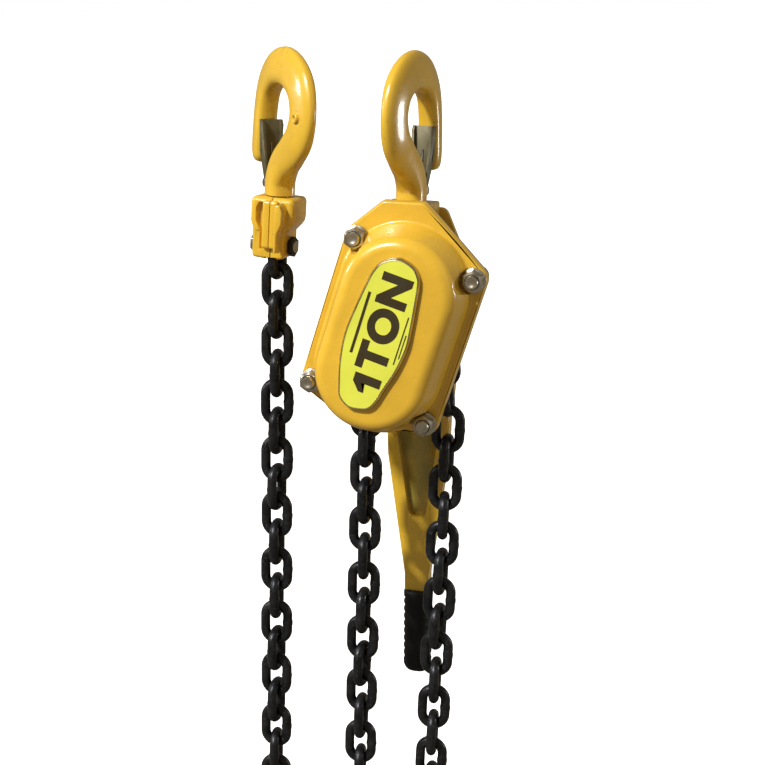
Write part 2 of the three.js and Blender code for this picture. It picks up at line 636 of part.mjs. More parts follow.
{
  const rim = new THREE.Shape();
  const lobes = 8;
  for (let i = 0; i <= 64; i++) {
    const a = (i * TURN) / 64;
    const r = 22.4 + 1.6 * Math.cos(lobes * a);
    const point = [SHAFT.x + r * Math.cos(a), SHAFT.z + r * Math.sin(a)];
    if (i === 0) rim.moveTo(...point);
    else if (i < 64) rim.lineTo(...point);
  }
  rim.closePath();
  const dish = disc(16, [60, 75]);
  add('hand_wheel', cut(union(slab(rim, HAND_WHEEL_Y)), dish, disc(DRIVE_BORE_R, [50, 80])), BLACK_STEEL);
  const nut = new THREE.CylinderGeometry(9.5, 9.5, CASTLE_NUT_Y[1] - CASTLE_NUT_Y[0], 6);
  nut.translate(SHAFT.x, (CASTLE_NUT_Y[0] + CASTLE_NUT_Y[1]) / 2, SHAFT.z);
  add('castle_nut', cut(union(nut), disc(DRIVE_BORE_R, [70, 90])), ZINC);
}

// ---------------------------------------------------------------- load chain
function chainCross() {
  const [reach, web] = [CHAIN_WIDTH / 2, CHAIN_WEB / 2];
  const corners = [
    [reach, -web], [reach, web], [web, web], [web, reach], [-web, reach], [-web, web],
    [-reach, web], [-reach, -web], [-web, -web], [-web, -reach], [web, -reach], [web, -web],
  ];
  return new THREE.Shape(corners.map(([a, b]) => new THREE.Vector2(a, b)));
}

function chainRun([x0, z0], [x1, z1]) {
  const length = Math.hypot(x1 - x0, z1 - z0);
  const run = new THREE.ExtrudeGeometry(chainCross(), { depth: length, bevelEnabled: false });
  return run.rotateY(Math.atan2(x1 - x0, z1 - z0)).translate(x0, 0, z0);
}

class ArcInXZ extends THREE.Curve {
  constructor(x, z, radius, startAngle, endAngle) {
    super();
    Object.assign(this, { x, z, radius, startAngle, endAngle });
  }

  getPoint(t) {
    const a = this.startAngle + (this.endAngle - this.startAngle) * t;
    return new THREE.Vector3(this.x + this.radius * Math.cos(a), 0, this.z + this.radius * Math.sin(a));
  }

  getTangent(t) {
    const a = this.startAngle + (this.endAngle - this.startAngle) * t;
    const way = Math.sign(this.endAngle - this.startAngle);
    return new THREE.Vector3(-Math.sin(a) * way, 0, Math.cos(a) * way);
  }
}

function chainBend(x, z, radius, startAngle, endAngle, steps) {
  const extrudePath = new ArcInXZ(x, z, radius, startAngle, endAngle);
  return new THREE.ExtrudeGeometry(chainCross(), { steps, bevelEnabled: false, extrudePath });
}

const BIGHT = { x: (HOOK_FALL_X + LOAD_FALL_X) / 2, r: (LOAD_FALL_X - HOOK_FALL_X) / 2 };
add('hook_chain_fall', chainRun([HOOK_FALL_X, BIGHT_Z + GAP], [HOOK_FALL_X, YOKE_BOLT_Z - 12.5]), BLACK_STEEL);
add('chain_bight', chainBend(BIGHT.x, BIGHT_Z, BIGHT.r, -Math.PI, 0, 16), BLACK_STEEL);
add('load_chain_fall', chainRun([LOAD_FALL_X, BIGHT_Z + GAP], [LOAD_FALL_X, LOAD_EXIT_Z - SWING_GAP]), BLACK_STEEL);
add('chain_in_case', union(
  chainBend(SHAFT.x, SHAFT.z, SHEAVE_PITCH_R, Math.PI, 0, 16),
  chainRun([LOAD_FALL_X, LOAD_EXIT_Z + SWING_GAP], [SHAFT.x - SHEAVE_PITCH_R, SHAFT.z + 0.5]),
  chainRun([TAIL_X.exit, TAIL_EXIT_Z + SWING_GAP], [SHAFT.x + SHEAVE_PITCH_R, SHAFT.z + 0.5]),
), BLACK_STEEL);
add('tail_chain_upper', chainRun(
  [TAIL_X.joint, TAIL_JOINT_Z + SWING_GAP], [TAIL_X.exit, TAIL_EXIT_Z - SWING_GAP],
), BLACK_STEEL);
add('tail_chain_lower', chainRun(
  [TAIL_X.end, TAIL_END_Z], [TAIL_X.joint, TAIL_JOINT_Z - SWING_GAP],
), BLACK_STEEL);
add('stop_ring', new THREE.TorusGeometry(11, 2.5, 8, 24).rotateX(Math.PI / 2)
  .translate(TAIL_X.end, 0, TAIL_END_Z - 14.2), ZINC);

// ---------------------------------------------------------------- bottom yoke
{
  const set = turnedSet(bottomEnd, YOKE_TURN);
  const shankBore = new THREE.CylinderGeometry(6.1, 6.1, 40, 24).rotateX(Math.PI / 2).translate(0, 0, -75);
  const flangeWell = new THREE.CylinderGeometry(8.9, 8.9, 8, 24).rotateX(Math.PI / 2).translate(0, 0, -73.5);
  const linkSlot = box([-3.7, 3.7], [-10.8, 10.8], [-110, -79.5]);
  const boltHole = new THREE.CylinderGeometry(3.9, 3.9, 60, 20).rotateZ(Math.PI / 2).translate(0, 0, YOKE_BOLT_Z);
  for (const [name, hand] of [['left', -1], ['right', 1]]) {
    const leg = YOKE_LEG[name];
    const mirrored = (discs) => roundedOutline(hand > 0 ? discs.reverse() : discs.map(([x, z, r]) => [-x, z, r]));
    const shoulder = mirrored([
      [0.9, -63.3, 0.5], [10.3, -65.8, 3], [10.5, -75, 2.8], [leg - 3, -82, 2], [0.9, -82, 0.5],
    ]);
    const lower = mirrored([[0.9, -76, 0.5], [leg - 2, -78, 2], [leg - 2.4, -96, 2], [2.4, -97.6, 2]]);
    const half = union(slab(shoulder, [-11, 11]), slab(lower, [-11, 11]));
    const ribs = [[-13.6, -10], [10, 13.6]].map((deep) => slab(
      mirrored([[0.8, -64.6, 0.4], [2.7, -66, 2], [2.7, -90, 2], [1.2, -91.2, 0.8]]), deep));
    const whole = ribs.reduce((sum, rib) => sum.add(solid(rib)), half);
    add(`bottom_yoke_${name}`, cut(whole, shankBore, flangeWell, linkSlot, boltHole), YELLOW, set);
  }
  const bolt = new THREE.CylinderGeometry(3.6, 3.6, 25, 20).rotateZ(Math.PI / 2).translate(-0.5, 0, YOKE_BOLT_Z);
  const head = new THREE.CylinderGeometry(5.8, 5.8, 3, 6).rotateZ(Math.PI / 2).translate(-13.8, 0, YOKE_BOLT_Z);
  add('yoke_bolt', union(bolt, head), ZINC, set);
  const nut = new THREE.CylinderGeometry(6, 6, 3, 6).rotateZ(Math.PI / 2).translate(9.8, 0, YOKE_BOLT_Z);
  add('yoke_nut', cut(union(nut), boltHole), BLACK_STEEL, set);
}

export default hoist;
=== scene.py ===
import json
import math

import bmesh
import bpy
import numpy as np
from mathutils import Matrix, Vector

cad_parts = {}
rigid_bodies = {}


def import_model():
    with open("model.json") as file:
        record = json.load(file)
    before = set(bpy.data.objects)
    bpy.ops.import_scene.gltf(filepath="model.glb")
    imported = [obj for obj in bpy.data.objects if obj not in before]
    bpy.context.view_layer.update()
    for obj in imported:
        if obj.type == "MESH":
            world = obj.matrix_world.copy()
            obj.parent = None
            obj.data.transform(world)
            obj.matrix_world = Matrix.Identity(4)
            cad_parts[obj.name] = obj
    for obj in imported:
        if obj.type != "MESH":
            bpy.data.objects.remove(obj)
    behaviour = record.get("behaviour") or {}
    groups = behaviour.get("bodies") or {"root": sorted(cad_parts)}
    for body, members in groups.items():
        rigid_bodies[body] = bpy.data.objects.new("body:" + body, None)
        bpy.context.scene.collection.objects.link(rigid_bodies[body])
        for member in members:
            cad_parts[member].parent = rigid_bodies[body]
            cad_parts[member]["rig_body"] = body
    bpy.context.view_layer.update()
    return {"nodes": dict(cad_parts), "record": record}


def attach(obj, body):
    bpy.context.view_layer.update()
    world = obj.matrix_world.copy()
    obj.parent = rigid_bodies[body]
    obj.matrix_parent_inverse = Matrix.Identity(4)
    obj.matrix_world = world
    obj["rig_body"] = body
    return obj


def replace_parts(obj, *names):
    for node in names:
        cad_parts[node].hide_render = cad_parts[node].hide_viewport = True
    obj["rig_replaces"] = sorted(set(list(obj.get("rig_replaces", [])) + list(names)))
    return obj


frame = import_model()

MM = 0.001
DEG = math.pi / 180
TAU = 2 * math.pi

# ------------------------------------------------------------------ dimensions, mm, as in the CAD
SHAFT = (-2.5, -133.0)
BODY = (-3.5, -131.8)
TILT = 16.5 * DEG
COVER_FRONT, COVER_BACK, DOME_FRONT = -26.0, -20.0, -50.0
POCKET_FLOOR = 44.7
LEVER_TILT = 1.23 * DEG
HOOK_FALL_X, LOAD_FALL_X = -79.5, -23.3
YOKE_BOLT_Z, BOTTOM_LEAN = -91.5, 2.5 * DEG
BIGHT_Z, LOAD_EXIT_Z, TAIL_EXIT_Z, TAIL_JOINT_Z = -667.0, -199.0, -190.0, -330.0
TAIL_START_Z, TAIL_PITCH, TAIL_MARKS = -185.0, 18.04, 18
FLOOR_Z = BIGHT_Z - 57
SWIVELS = {"top": -10.6 * DEG, "bottom": 42.7 * DEG}
YOKE_TURN = -4 * DEG
LATCH_PIVOT = (11.0, -56.5)


def turned(end, turn):
    """Where the pieces of a hook's end stand, for a turn about its shank. The bottom end leans."""
    spin = Matrix.Rotation(turn, 4, "Z")
    if end == "top":
        return spin
    lean = Matrix.Rotation(BOTTOM_LEAN, 4, "Y") @ Matrix.Translation((0, 0, -YOKE_BOLT_Z * MM))
    return Matrix.Translation((HOOK_FALL_X * MM, 0, YOKE_BOLT_Z * MM)) @ lean @ spin


def tail_x(z):
    return 26 + (z - TAIL_EXIT_Z) * 0.0152


def on_body(across, along, origin=BODY):
    c, s = math.cos(TILT), math.sin(TILT)
    return origin[0] + across * c + along * s, origin[1] - across * s + along * c


def on_lever(across, down):
    c, s = math.cos(LEVER_TILT), math.sin(LEVER_TILT)
    return SHAFT[0] + across * c + down * s, SHAFT[1] + across * s - down * c


NUTS = {
    "upper_left": on_body(-35, 44),
    "upper_right": on_body(35, 44),
    "lower_left": on_body(-35, -44),
    "lower_right": on_body(35, -44),
}


# ------------------------------------------------------------------ camera
def make_camera():
    place = Vector((175, -765, 44)) * MM
    yaw, pitch, roll = 13.9 * DEG, 15.15 * DEG, 1.3 * DEG
    ahead = Vector((-math.sin(yaw) * math.cos(pitch), math.cos(yaw) * math.cos(pitch), -math.sin(pitch)))
    right = Vector((math.cos(yaw), math.sin(yaw), 0))
    up = right.cross(ahead)
    c, s = math.cos(roll), math.sin(roll)
    right, up = c * right + s * up, -s * right + c * up
    data = bpy.data.cameras.new("camera")
    data.sensor_width, data.lens = 36, 65.22353
    data.clip_start, data.clip_end = 0.02, 200
    camera = bpy.data.objects.new("camera", data)
    turn = Matrix((right, up, -ahead)).transposed()
    camera.matrix_world = Matrix.Translation(place) @ turn.to_4x4()
    bpy.context.scene.collection.objects.link(camera)
    bpy.context.scene.camera = camera


make_camera()


# ------------------------------------------------------------------ materials
def new_material(name):
    material = bpy.data.materials.new(name)
    material.use_nodes = True
    return material


class Nodes:
    """Short names for building a material's nodes."""

    def __init__(self, material):
        self.material = material
        self.tree = self.material.node_tree
        self.bsdf = self.tree.nodes["Principled BSDF"]
        self.coords = self.tree.nodes.new("ShaderNodeTexCoord").outputs["Object"]

    def new(self, kind, **settings):
        node = self.tree.nodes.new(kind)
        for key, value in settings.items():
            setattr(node, key, value)
        return node

    def link(self, a, b):
        self.tree.links.new(a, b)

    def noise(self, scale, detail=3.0, rough=0.5, distortion=0.0):
        node = self.new("ShaderNodeTexNoise")
        node.inputs["Scale"].default_value = scale
        node.inputs["Detail"].default_value = detail
        node.inputs["Roughness"].default_value = rough
        node.inputs["Distortion"].default_value = distortion
        self.link(self.coords, node.inputs["Vector"])
        return node.outputs["Fac"]

    def ramp(self, source, low, high, a=0.0, b=1.0):
        node = self.new("ShaderNodeMapRange")
        node.inputs["From Min"].default_value = low
        node.inputs["From Max"].default_value = high
        node.inputs["To Min"].default_value = a
        node.inputs["To Max"].default_value = b
        self.link(source, node.inputs["Value"])
        return node.outputs["Result"]

    def mix(self, factor, a, b):
        node = self.new("ShaderNodeMix", data_type="RGBA")
        self.link(factor, node.inputs["Factor"])
        for value, socket in ((a, node.inputs["A"]), (b, node.inputs["B"])):
            if isinstance(value, tuple):
                socket.default_value = (*value, 1)
            else:
                self.link(value, socket)
        return node.outputs["Result"]

    def math(self, operation, a, b):
        node = self.new("ShaderNodeMath", operation=operation)
        for value, socket in ((a, node.inputs[0]), (b, node.inputs[1])):
            if isinstance(value, (int, float)):
                socket.default_value = value
            else:
                self.link(value, socket)
        return node.outputs["Value"]

    def bump(self, height, strength, distance=0.0002, after=None):
        node = self.new("ShaderNodeBump")
        node.inputs["Strength"].default_value = strength
        node.inputs["Distance"].default_value = distance
        self.link(height, node.inputs["Height"])
        if after is not None:
            self.link(after, node.inputs["Normal"])
        return node.outputs["Normal"]

    def set(self, **values):
        for key, value in values.items():
            socket = self.bsdf.inputs[key.replace("_", " ")]
            if isinstance(value, bpy.types.NodeSocket):
                self.link(value, socket)
            else:
                socket.default_value = value


def enamel(name, base, dark, chips=0.7, roughness=0.27):
    """Gloss paint over a casting: slight mottling, orange peel, dust in the film and a few chips."""
    n = Nodes(new_material(name))
    cloudy = n.ramp(n.noise(28, 4, 0.6), 0.35, 0.7)
    tint = n.mix(cloudy, base, tuple(c * 0.86 for c in base))
    grime_and_painted_shade = n.ramp(n.noise(75, 6, 0.72, 0.4), 0.62, 0.8, 0, 0.75)
    tint = n.mix(grime_and_painted_shade, tint, dark)
    speck = n.ramp(n.noise(620, 2, 0.5), chips, chips + 0.035)
    patch = n.ramp(n.noise(38, 2), 0.47, 0.62)
    chip = n.math("MULTIPLY", speck, patch)
    tint = n.mix(chip, tint, (0.035, 0.022, 0.012))
    peel = n.bump(n.noise(330, 2, 0.5), 0.10, 0.0004)
    cast = n.bump(n.noise(90, 3, 0.6), 0.10, 0.0012, peel)
    shine = n.ramp(n.noise(140, 3), 0.3, 0.75, roughness - 0.07, roughness + 0.13)
    n.set(Base_Color=tint, Normal=cast, Roughness=shine, Metallic=0.0)
    n.set(Coat_Weight=0.55, Coat_Roughness=0.09)
    return n.material


def pocket_enamel(name, base, dark, floor_y, painted_floor_shade):
    """Enamel with painted shade on the floor of the arm's hollow, at the depth given: a darker, greener tint in
    noisy patches.
    """
    material = enamel(name, base, dark)
    n = Nodes(material)
    paint = n.bsdf.inputs["Base Color"].links[0].from_socket
    split = n.new("ShaderNodeSeparateXYZ")
    n.link(n.coords, split.inputs["Vector"])
    depth = split.outputs["Y"]
    # Painted shade: the floor of the hollow is mixed towards a darker, greener tint, more strongly in some
    # patches than others.
    near = n.math("LESS_THAN", n.math("ABSOLUTE", n.math("SUBTRACT", depth, floor_y * MM), 0.0), 0.00025)
    grime_and_painted_shade = n.ramp(n.noise(55, 3, 0.5), 0.3, 0.7, 0.55, 1.0)
    n.set(Base_Color=n.mix(n.math("MULTIPLY", near, grime_and_painted_shade), paint, painted_floor_shade))
    return material


def metal(name, base, stain, roughness, metallic=1.0, grain=420, bump=0.12, spread=0.14):
    n = Nodes(new_material(name))
    patchy = n.ramp(n.noise(95, 5, 0.62), 0.35, 0.72)
    tint = n.mix(patchy, base, stain)
    fine = n.bump(n.noise(grain, 4, 0.6), bump, 0.0003)
    shine = n.ramp(n.noise(210, 4, 0.6), 0.3, 0.7, roughness - spread / 2, roughness + spread / 2)
    n.set(Base_Color=tint, Normal=fine, Roughness=shine, Metallic=metallic)
    return n.material


def chain_black(name):
    """Blackened chain under a film of oil."""
    n = Nodes(new_material(name))
    patchy = n.ramp(n.noise(160, 4, 0.6), 0.4, 0.7)
    tint = n.mix(patchy, (0.011, 0.012, 0.0145), (0.031, 0.031, 0.034))
    worn = n.ramp(n.noise(520, 3, 0.6), 0.6, 0.74)
    tint = n.mix(worn, tint, (0.075, 0.073, 0.074))
    skin = n.bump(n.noise(560, 4, 0.65), 0.30, 0.0004)
    dents = n.bump(n.noise(150, 2), 0.25, 0.0010, skin)
    shine = n.ramp(n.noise(300, 4, 0.6), 0.3, 0.7, 0.26, 0.46)
    n.set(Base_Color=tint, Normal=dents, Roughness=shine, Metallic=0.55)
    return n.material


def rubber(name):
    n = Nodes(new_material(name))
    patchy = n.ramp(n.noise(60, 4, 0.6), 0.35, 0.7)
    tint = n.mix(patchy, (0.004, 0.004, 0.0045), (0.009, 0.008, 0.009))
    dust = n.ramp(n.noise(260, 6, 0.75), 0.62, 0.8, 0, 0.35)
    tint = n.mix(dust, tint, (0.04, 0.036, 0.033))
    skin = n.bump(n.noise(900, 3, 0.6), 0.25, 0.0003)
    shine = n.ramp(n.noise(120, 3), 0.3, 0.7, 0.48, 0.68)
    n.set(Base_Color=tint, Normal=skin, Roughness=shine, Specular_IOR_Level=0.3)
    return n.material


YELLOW = enamel("yellow_enamel", (0.78, 0.475, 0.035), (0.34, 0.19, 0.022))
YELLOW_FRESH = enamel("yellow_enamel_case", (0.82, 0.49, 0.037), (0.55, 0.32, 0.025), chips=0.76)
# The last colour given is the painted shade on the floor of the lever's hollow.
LEVER_PAINT = pocket_enamel("yellow_enamel_lever", (0.78, 0.475, 0.035), (0.34, 0.19, 0.022), POCKET_FLOOR,
                            (0.27, 0.24, 0.045))
ZINC = metal("zinc_plate", (0.60, 0.56, 0.48), (0.42, 0.38, 0.31), 0.34)
SILVER = metal("silver_border", (0.62, 0.55, 0.40), (0.36, 0.30, 0.20), 0.26, grain=900, bump=0.04)
STEEL = metal("plain_steel", (0.42, 0.42, 0.41), (0.27, 0.26, 0.25), 0.36)
LATCH = metal("latch_steel", (0.085, 0.074, 0.034), (0.15, 0.13, 0.065), 0.5, metallic=0.35)
BLACK = chain_black("black_chain")
BLACK_PLATE = metal("black_plate", (0.020, 0.020, 0.022), (0.035, 0.033, 0.032), 0.42, metallic=0.3)
RUBBER = rubber("rubber_black")
LIME = enamel("label_lime", (0.84, 0.86, 0.085), (0.74, 0.76, 0.10), chips=0.95, roughness=0.36)
PRINT = enamel("print_brown", (0.040, 0.026, 0.006), (0.055, 0.04, 0.012), chips=0.95, roughness=0.4)
LINING = rubber("friction_lining")

SLOTS = {
    "yellow_enamel": YELLOW, "zinc_plate": ZINC, "plain_steel": STEEL, "latch_steel": LATCH,
    "black_chain_steel": BLACK, "black_plate": BLACK_PLATE, "rubber_black": RUBBER,
    "label_lime": LIME, "friction_lining": LINING,
}
SLOT_OF = {s["node"]: s["material_slot"] for s in frame["record"]["subparts"]}
BODY_OF = {node: ob["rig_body"] for node, ob in frame["nodes"].items()}


# ------------------------------------------------------------------ building pieces
def link(name, mesh):
    piece = bpy.data.objects.new(name, mesh)
    bpy.context.scene.collection.objects.link(piece)
    return piece


def from_lists(name, points, faces):
    mesh = bpy.data.meshes.new(name)
    mesh.from_pydata([tuple(c * MM for c in p) for p in points], [], faces)
    bm = bmesh.new()
    bm.from_mesh(mesh)
    bmesh.ops.remove_doubles(bm, verts=bm.verts, dist=1e-6)
    bmesh.ops.recalc_face_normals(bm, faces=bm.faces)
    bm.to_mesh(mesh)
    bm.free()
    return link(name, mesh)


def loft(name, rings, close_start=True, close_end=True):
    """Quads between rings that have the same number of points."""
    count = len(rings[0])
    points = [p for ring in rings for p in ring]
    faces = []
    for r in range(len(rings) - 1):
        for k in range(count):
            a, b = r * count + k, r * count + (k + 1) % count
            faces.append((a, b, b + count, a + count))
    for ring, wanted in ((0, close_start), (len(rings) - 1, close_end)):
        if wanted:
            points.append(tuple(np.mean(rings[ring], axis=0)))
            hub = len(points) - 1
            faces += [(ring * count + k, ring * count + (k + 1) % count, hub) for k in range(count)]
    return from_lists(name, points, faces)


def bake(piece):
    """Takes the result of a piece's modifiers as its mesh."""
    graph = bpy.context.evaluated_depsgraph_get()
    mesh = bpy.data.meshes.new_from_object(piece.evaluated_get(graph))
    piece.modifiers.clear()
    piece.data = mesh
    return piece


def cut(piece, tools):
    for tool in tools:
        step = piece.modifiers.new("cut", "BOOLEAN")
        step.operation, step.solver, step.object = "DIFFERENCE", "EXACT", tool
    bake(piece)
    for tool in tools:
        bpy.data.objects.remove(tool)
    return piece


def join(piece, others):
    for other in others:
        step = piece.modifiers.new("join", "BOOLEAN")
        step.operation, step.solver, step.object = "UNION", "EXACT", other
    bake(piece)
    for other in others:
        bpy.data.objects.remove(other)
    return piece


def bevel(piece, width, segments=3, angle=32):
    bm = bmesh.new()
    bm.from_mesh(piece.data)
    bmesh.ops.remove_doubles(bm, verts=bm.verts, dist=3e-6)
    bmesh.ops.dissolve_limit(bm, angle_limit=0.6 * DEG, verts=bm.verts, edges=bm.edges)
    bm.to_mesh(piece.data)
    bm.free()
    step = piece.modifiers.new("bevel", "BEVEL")
    step.width, step.segments, step.limit_method = width * MM, segments, "ANGLE"
    step.angle_limit = angle * DEG
    step.use_clamp_overlap = True
    return bake(piece)


def dress(piece, material, body, nodes=(), slot=None, crease=38):
    piece.data.materials.clear()
    piece.data.materials.append(material)
    piece.data.shade_smooth()
    piece.data.set_sharp_from_angle(angle=crease * DEG)
    if nodes:
        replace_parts(piece, *nodes)
        slot = slot or SLOT_OF[nodes[0]]
    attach(piece, body)
    return piece


def round_outline(discs, step=7):
    """Points round the string pulled tight about discs (x, z, r), taken counter-clockwise."""
    points, count = [], len(discs)
    leans = []
    for i, (x, z, r) in enumerate(discs):
        nx, nz, nr = discs[(i + 1) % count]
        dx, dz = nx - x, nz - z
        length = math.hypot(dx, dz)
        lean = (r - nr) / length
        side = math.sqrt(1 - lean * lean)
        leans.append(math.atan2((dz * lean - dx * side) / length, (dx * lean + dz * side) / length))
    for i, (x, z, r) in enumerate(discs):
        start, end = leans[i - 1], leans[i]
        while end < start - 1e-9:
            end += TAU
        pieces = max(1, math.ceil((end - start) / (step * DEG)))
        for k in range(pieces + 1):
            a = start + (end - start) * k / pieces
            points.append((x + r * math.cos(a), z + r * math.sin(a)))
    return points


def prism(name, outline, y0, y1):
    front = [(x, y0, z) for x, z in outline]
    back = [(x, y1, z) for x, z in outline]
    count = len(outline)
    faces = [(k, (k + 1) % count, (k + 1) % count + count, k + count) for k in range(count)]
    faces += [tuple(range(count - 1, -1, -1)), tuple(range(count, 2 * count))]
    return from_lists(name, front + back, faces)


def lathe(name, profile, centre, axis="y", segments=64):
    """profile is [(r, h)] and closes on itself or on the axis."""
    rings = []
    for r, h in profile:
        ring = []
        for k in range(segments):
            a = TAU * k / segments
            u, v = max(r, 1e-4) * math.cos(a), max(r, 1e-4) * math.sin(a)
            ring.append({"x": (h, u, v), "y": (u, h, v), "z": (u, v, h)}[axis])
        rings.append([tuple(np.add(p, centre)) for p in ring])
    hollow = profile[0] == profile[-1]
    if hollow:
        rings = rings[:-1] + [rings[0]]
    return loft(name, rings, not hollow, not hollow)


def bore(radius, low, high):
    """The profile of a plain round cutter or disc."""
    return [(0, low), (radius, low), (radius, high), (0, high)]


def refine(node, width=0.45, segments=2, angle=34, material=None, crease=38):
    """The CAD node's own shape with its edges eased, as a machined or cast edge is."""
    mesh = frame["nodes"][node].data.copy()
    piece = link(node + "_finished", mesh)
    bevel(piece, width, segments, angle)
    return dress(piece, material or SLOTS[SLOT_OF[node]], BODY_OF[node], [node], crease=crease)


# ------------------------------------------------------------------ gear case
FLANGE_BACK = [
    (*NUTS["lower_left"], 7.4), (*on_body(-8, -50), 10), (*NUTS["lower_right"], 7.4),
    (*NUTS["upper_right"], 7.4), (12.5, -61, 2.5), (-9.5, -61, 2.5), (*NUTS["upper_left"], 7.4),
]
FLANGE_FRONT = [
    (*NUTS["lower_left"], 7.0), (*on_body(-8, -50), 9.6), (*NUTS["lower_right"], 7.0),
    (*NUTS["upper_right"], 7.0), (12.2, -61.2, 2.2), (-9.2, -61.2, 2.2), (*NUTS["upper_left"], 7.0),
]
RAYS = 288


def by_rays(outline):
    """The outline as RAYS points at even angles about the middle of the case."""
    pts = np.array(outline) - np.array(BODY)
    nxt = np.roll(pts, -1, axis=0)
    found = []
    for k in range(RAYS):
        a = TAU * k / RAYS
        d = np.array([math.cos(a), math.sin(a)])
        edge = nxt - pts
        cross = d[0] * edge[:, 1] - d[1] * edge[:, 0]
        safe = np.where(abs(cross) < 1e-12, 1e-12, cross)
        t = (pts[:, 0] * edge[:, 1] - pts[:, 1] * edge[:, 0]) / safe
        u = (pts[:, 0] * d[1] - pts[:, 1] * d[0]) / safe
        ok = (abs(cross) > 1e-9) & (t > 0) & (u >= -1e-6) & (u <= 1 + 1e-6)
        r = t[ok].max()
        found.append((BODY[0] + r * d[0], BODY[1] + r * d[1]))
    return found


def long_round(r):
    top, low = on_body(0, 25.3), on_body(0, -22)
    return by_rays(round_outline([(*low, r), (*top, r)], 3))


def dome_rings(profile):
    return [[(x, y, z) for x, z in long_round(r)] for r, y in profile]


def shrunk(outline, share):
    return [(BODY[0] + (x - BODY[0]) * share, BODY[1] + (z - BODY[1]) * share) for x, z in outline]


def gear_cover():
    crown, ease = 25.6, 7.4
    rings = [[(x, DOME_FRONT, z) for x, z in shrunk(long_round(crown), s)] for s in (0.35, 0.7, 0.92)]
    arc = [(crown + ease * math.sin(a * DEG), DOME_FRONT + ease * (1 - math.cos(a * DEG)))
           for a in range(0, 85, 7)]
    wall = [(34.2, -39), (35.6, -34), (36.8, -29.6)]
    foot = [(37.1 + 2.0 * (1 - math.cos(a * DEG)), -28.2 + 2.2 * math.sin(a * DEG)) for a in range(0, 91, 10)]
    rings += dome_rings(arc + wall + foot)
    edge = by_rays(round_outline(FLANGE_FRONT, 4))
    back = by_rays(round_outline(FLANGE_BACK, 4))
    last = rings[-1]
    for share in (0.3, 0.6, 0.85):
        rings.append([
            (a[0] + (b[0] - a[0]) * share, COVER_FRONT, a[2] + (b[1] - a[2]) * share)
            for a, b in zip(last, edge)
        ])

    def between(share, y):
        return [(a[0] + (b[0] - a[0]) * share, y, a[1] + (b[1] - a[1]) * share) for a, b in zip(edge, back)]

    for a in range(0, 91, 18):
        inward = 0.9 * (1 - math.sin(a * DEG))
        y = COVER_FRONT + 0.9 * (1 - math.cos(a * DEG))
        ring = between(0.0, y)
        rings.append([
            (x - inward * (x - BODY[0]) / 50, yy, z - inward * (z - BODY[1]) / 50) for x, yy, z in ring
        ])
    rings.append(between(1.0, -22.6))
    rings.append(between(1.0, COVER_BACK))
    rings += dome_rings([(32, COVER_BACK), (30.8, -42), (28, -45.4), (24, -46)])
    cover = loft("gear_cover_shell", rings)
    seats = []
    for place, (x, z) in NUTS.items():
        seats.append(lathe("seat_" + place, bore(7.7, -60, -26.02), (x, 0, z)))
        seats.append(lathe("hole_" + place, bore(4.1, -30, -15), (x, 0, z), segments=32))
    cut(cover, seats)
    bevel(cover, 0.7, 3, 48)
    dress(cover, YELLOW_FRESH, "frame", ["gear_cover"], crease=50)


gear_cover()


def hex_nut(name, x, z, flats=11.0, seat=-26.3):
    """A flange nut: washer face, hexagon with its corners turned off, and a rounded top."""
    segments, apothem = 96, flats / 2
    across = [apothem / math.cos((((TAU * k / segments) + TAU / 12) % (TAU / 6)) - TAU / 12)
              for k in range(segments)]

    def ring(radius, y):
        return [(x + radius(k) * math.cos(TAU * k / segments), y, z + radius(k) * math.sin(TAU * k / segments))
                for k in range(segments)]

    def sides(y_of):
        return [(x + across[k] * math.cos(TAU * k / segments), y_of(k),
                 z + across[k] * math.sin(TAU * k / segments)) for k in range(segments)]

    top = seat - 7.2
    rings = [
        ring(lambda k: 4.1, seat), ring(lambda k: 6.6, seat), ring(lambda k: 6.9, seat - 0.4),
        ring(lambda k: 6.85, seat - 1.2), ring(lambda k: across[k], seat - 1.75),
        sides(lambda k: top + 0.62 * (across[k] - apothem) + 0.9),
        ring(lambda k: apothem * 0.93, top + 0.35), ring(lambda k: apothem * 0.86, top),
        ring(lambda k: 4.3, top), ring(lambda k: 4.1, top + 0.3), ring(lambda k: 4.1, seat),
    ]
    return loft(name, rings, False, False)


def stud(name, x, z):
    profile = [(0, -35.5), (1.7, -35.5), (2.1, -35.8), (3.1, -35.8), (3.6, -35.2), (3.85, -34.6), (3.85, -15.4),
               (6, -15.4), (6, -11.6), (0, -11.6)]
    return lathe(name, profile, (x, 0, z), segments=40)


for place, (x, z) in NUTS.items():
    dress(hex_nut("flange_nut_" + place, x, z), ZINC, "frame", ["cover_nut_" + place], crease=28)
    dress(stud("domed_stud_" + place, x, z), ZINC, "frame", ["cover_stud_" + place], crease=40)


# ------------------------------------------------------------------ nameplate
PLATE_AT = (-5.0, -128.7)
PLATE_TILT = 16.4 * DEG
PLATE = [
    (-2.8, 44.6), (3.2, 44.6), (8.4, 42.8), (11.6, 39.6), (13.7, 35.5), (15.5, 24.6), (17.5, 9.6), (18.4, -1.2),
    (16.8, -15.2), (13.6, -27.3), (11.2, -36.8), (8.4, -41.6), (4, -44), (-3.5, -45.1), (-10.2, -41),
    (-12.9, -34.1), (-16.5, -19.7), (-18.1, -4), (-16.7, 12.5), (-15, 25.5), (-13.4, 33.6), (-10.2, 39.9),
]


def smooth_loop(points, per=8):
    pts = np.array(points, float)
    count = len(pts)
    out = []
    for i in range(count):
        p0, p1, p2, p3 = (pts[(i + k - 1) % count] for k in range(4))
        for k in range(per):
            t = k / per
            out.append(0.5 * (2 * p1 + (p2 - p0) * t + (2 * p0 - 5 * p1 + 4 * p2 - p3) * t * t
                              + (3 * p1 - p0 - 3 * p2 + p3) * t ** 3))
    return np.array(out)


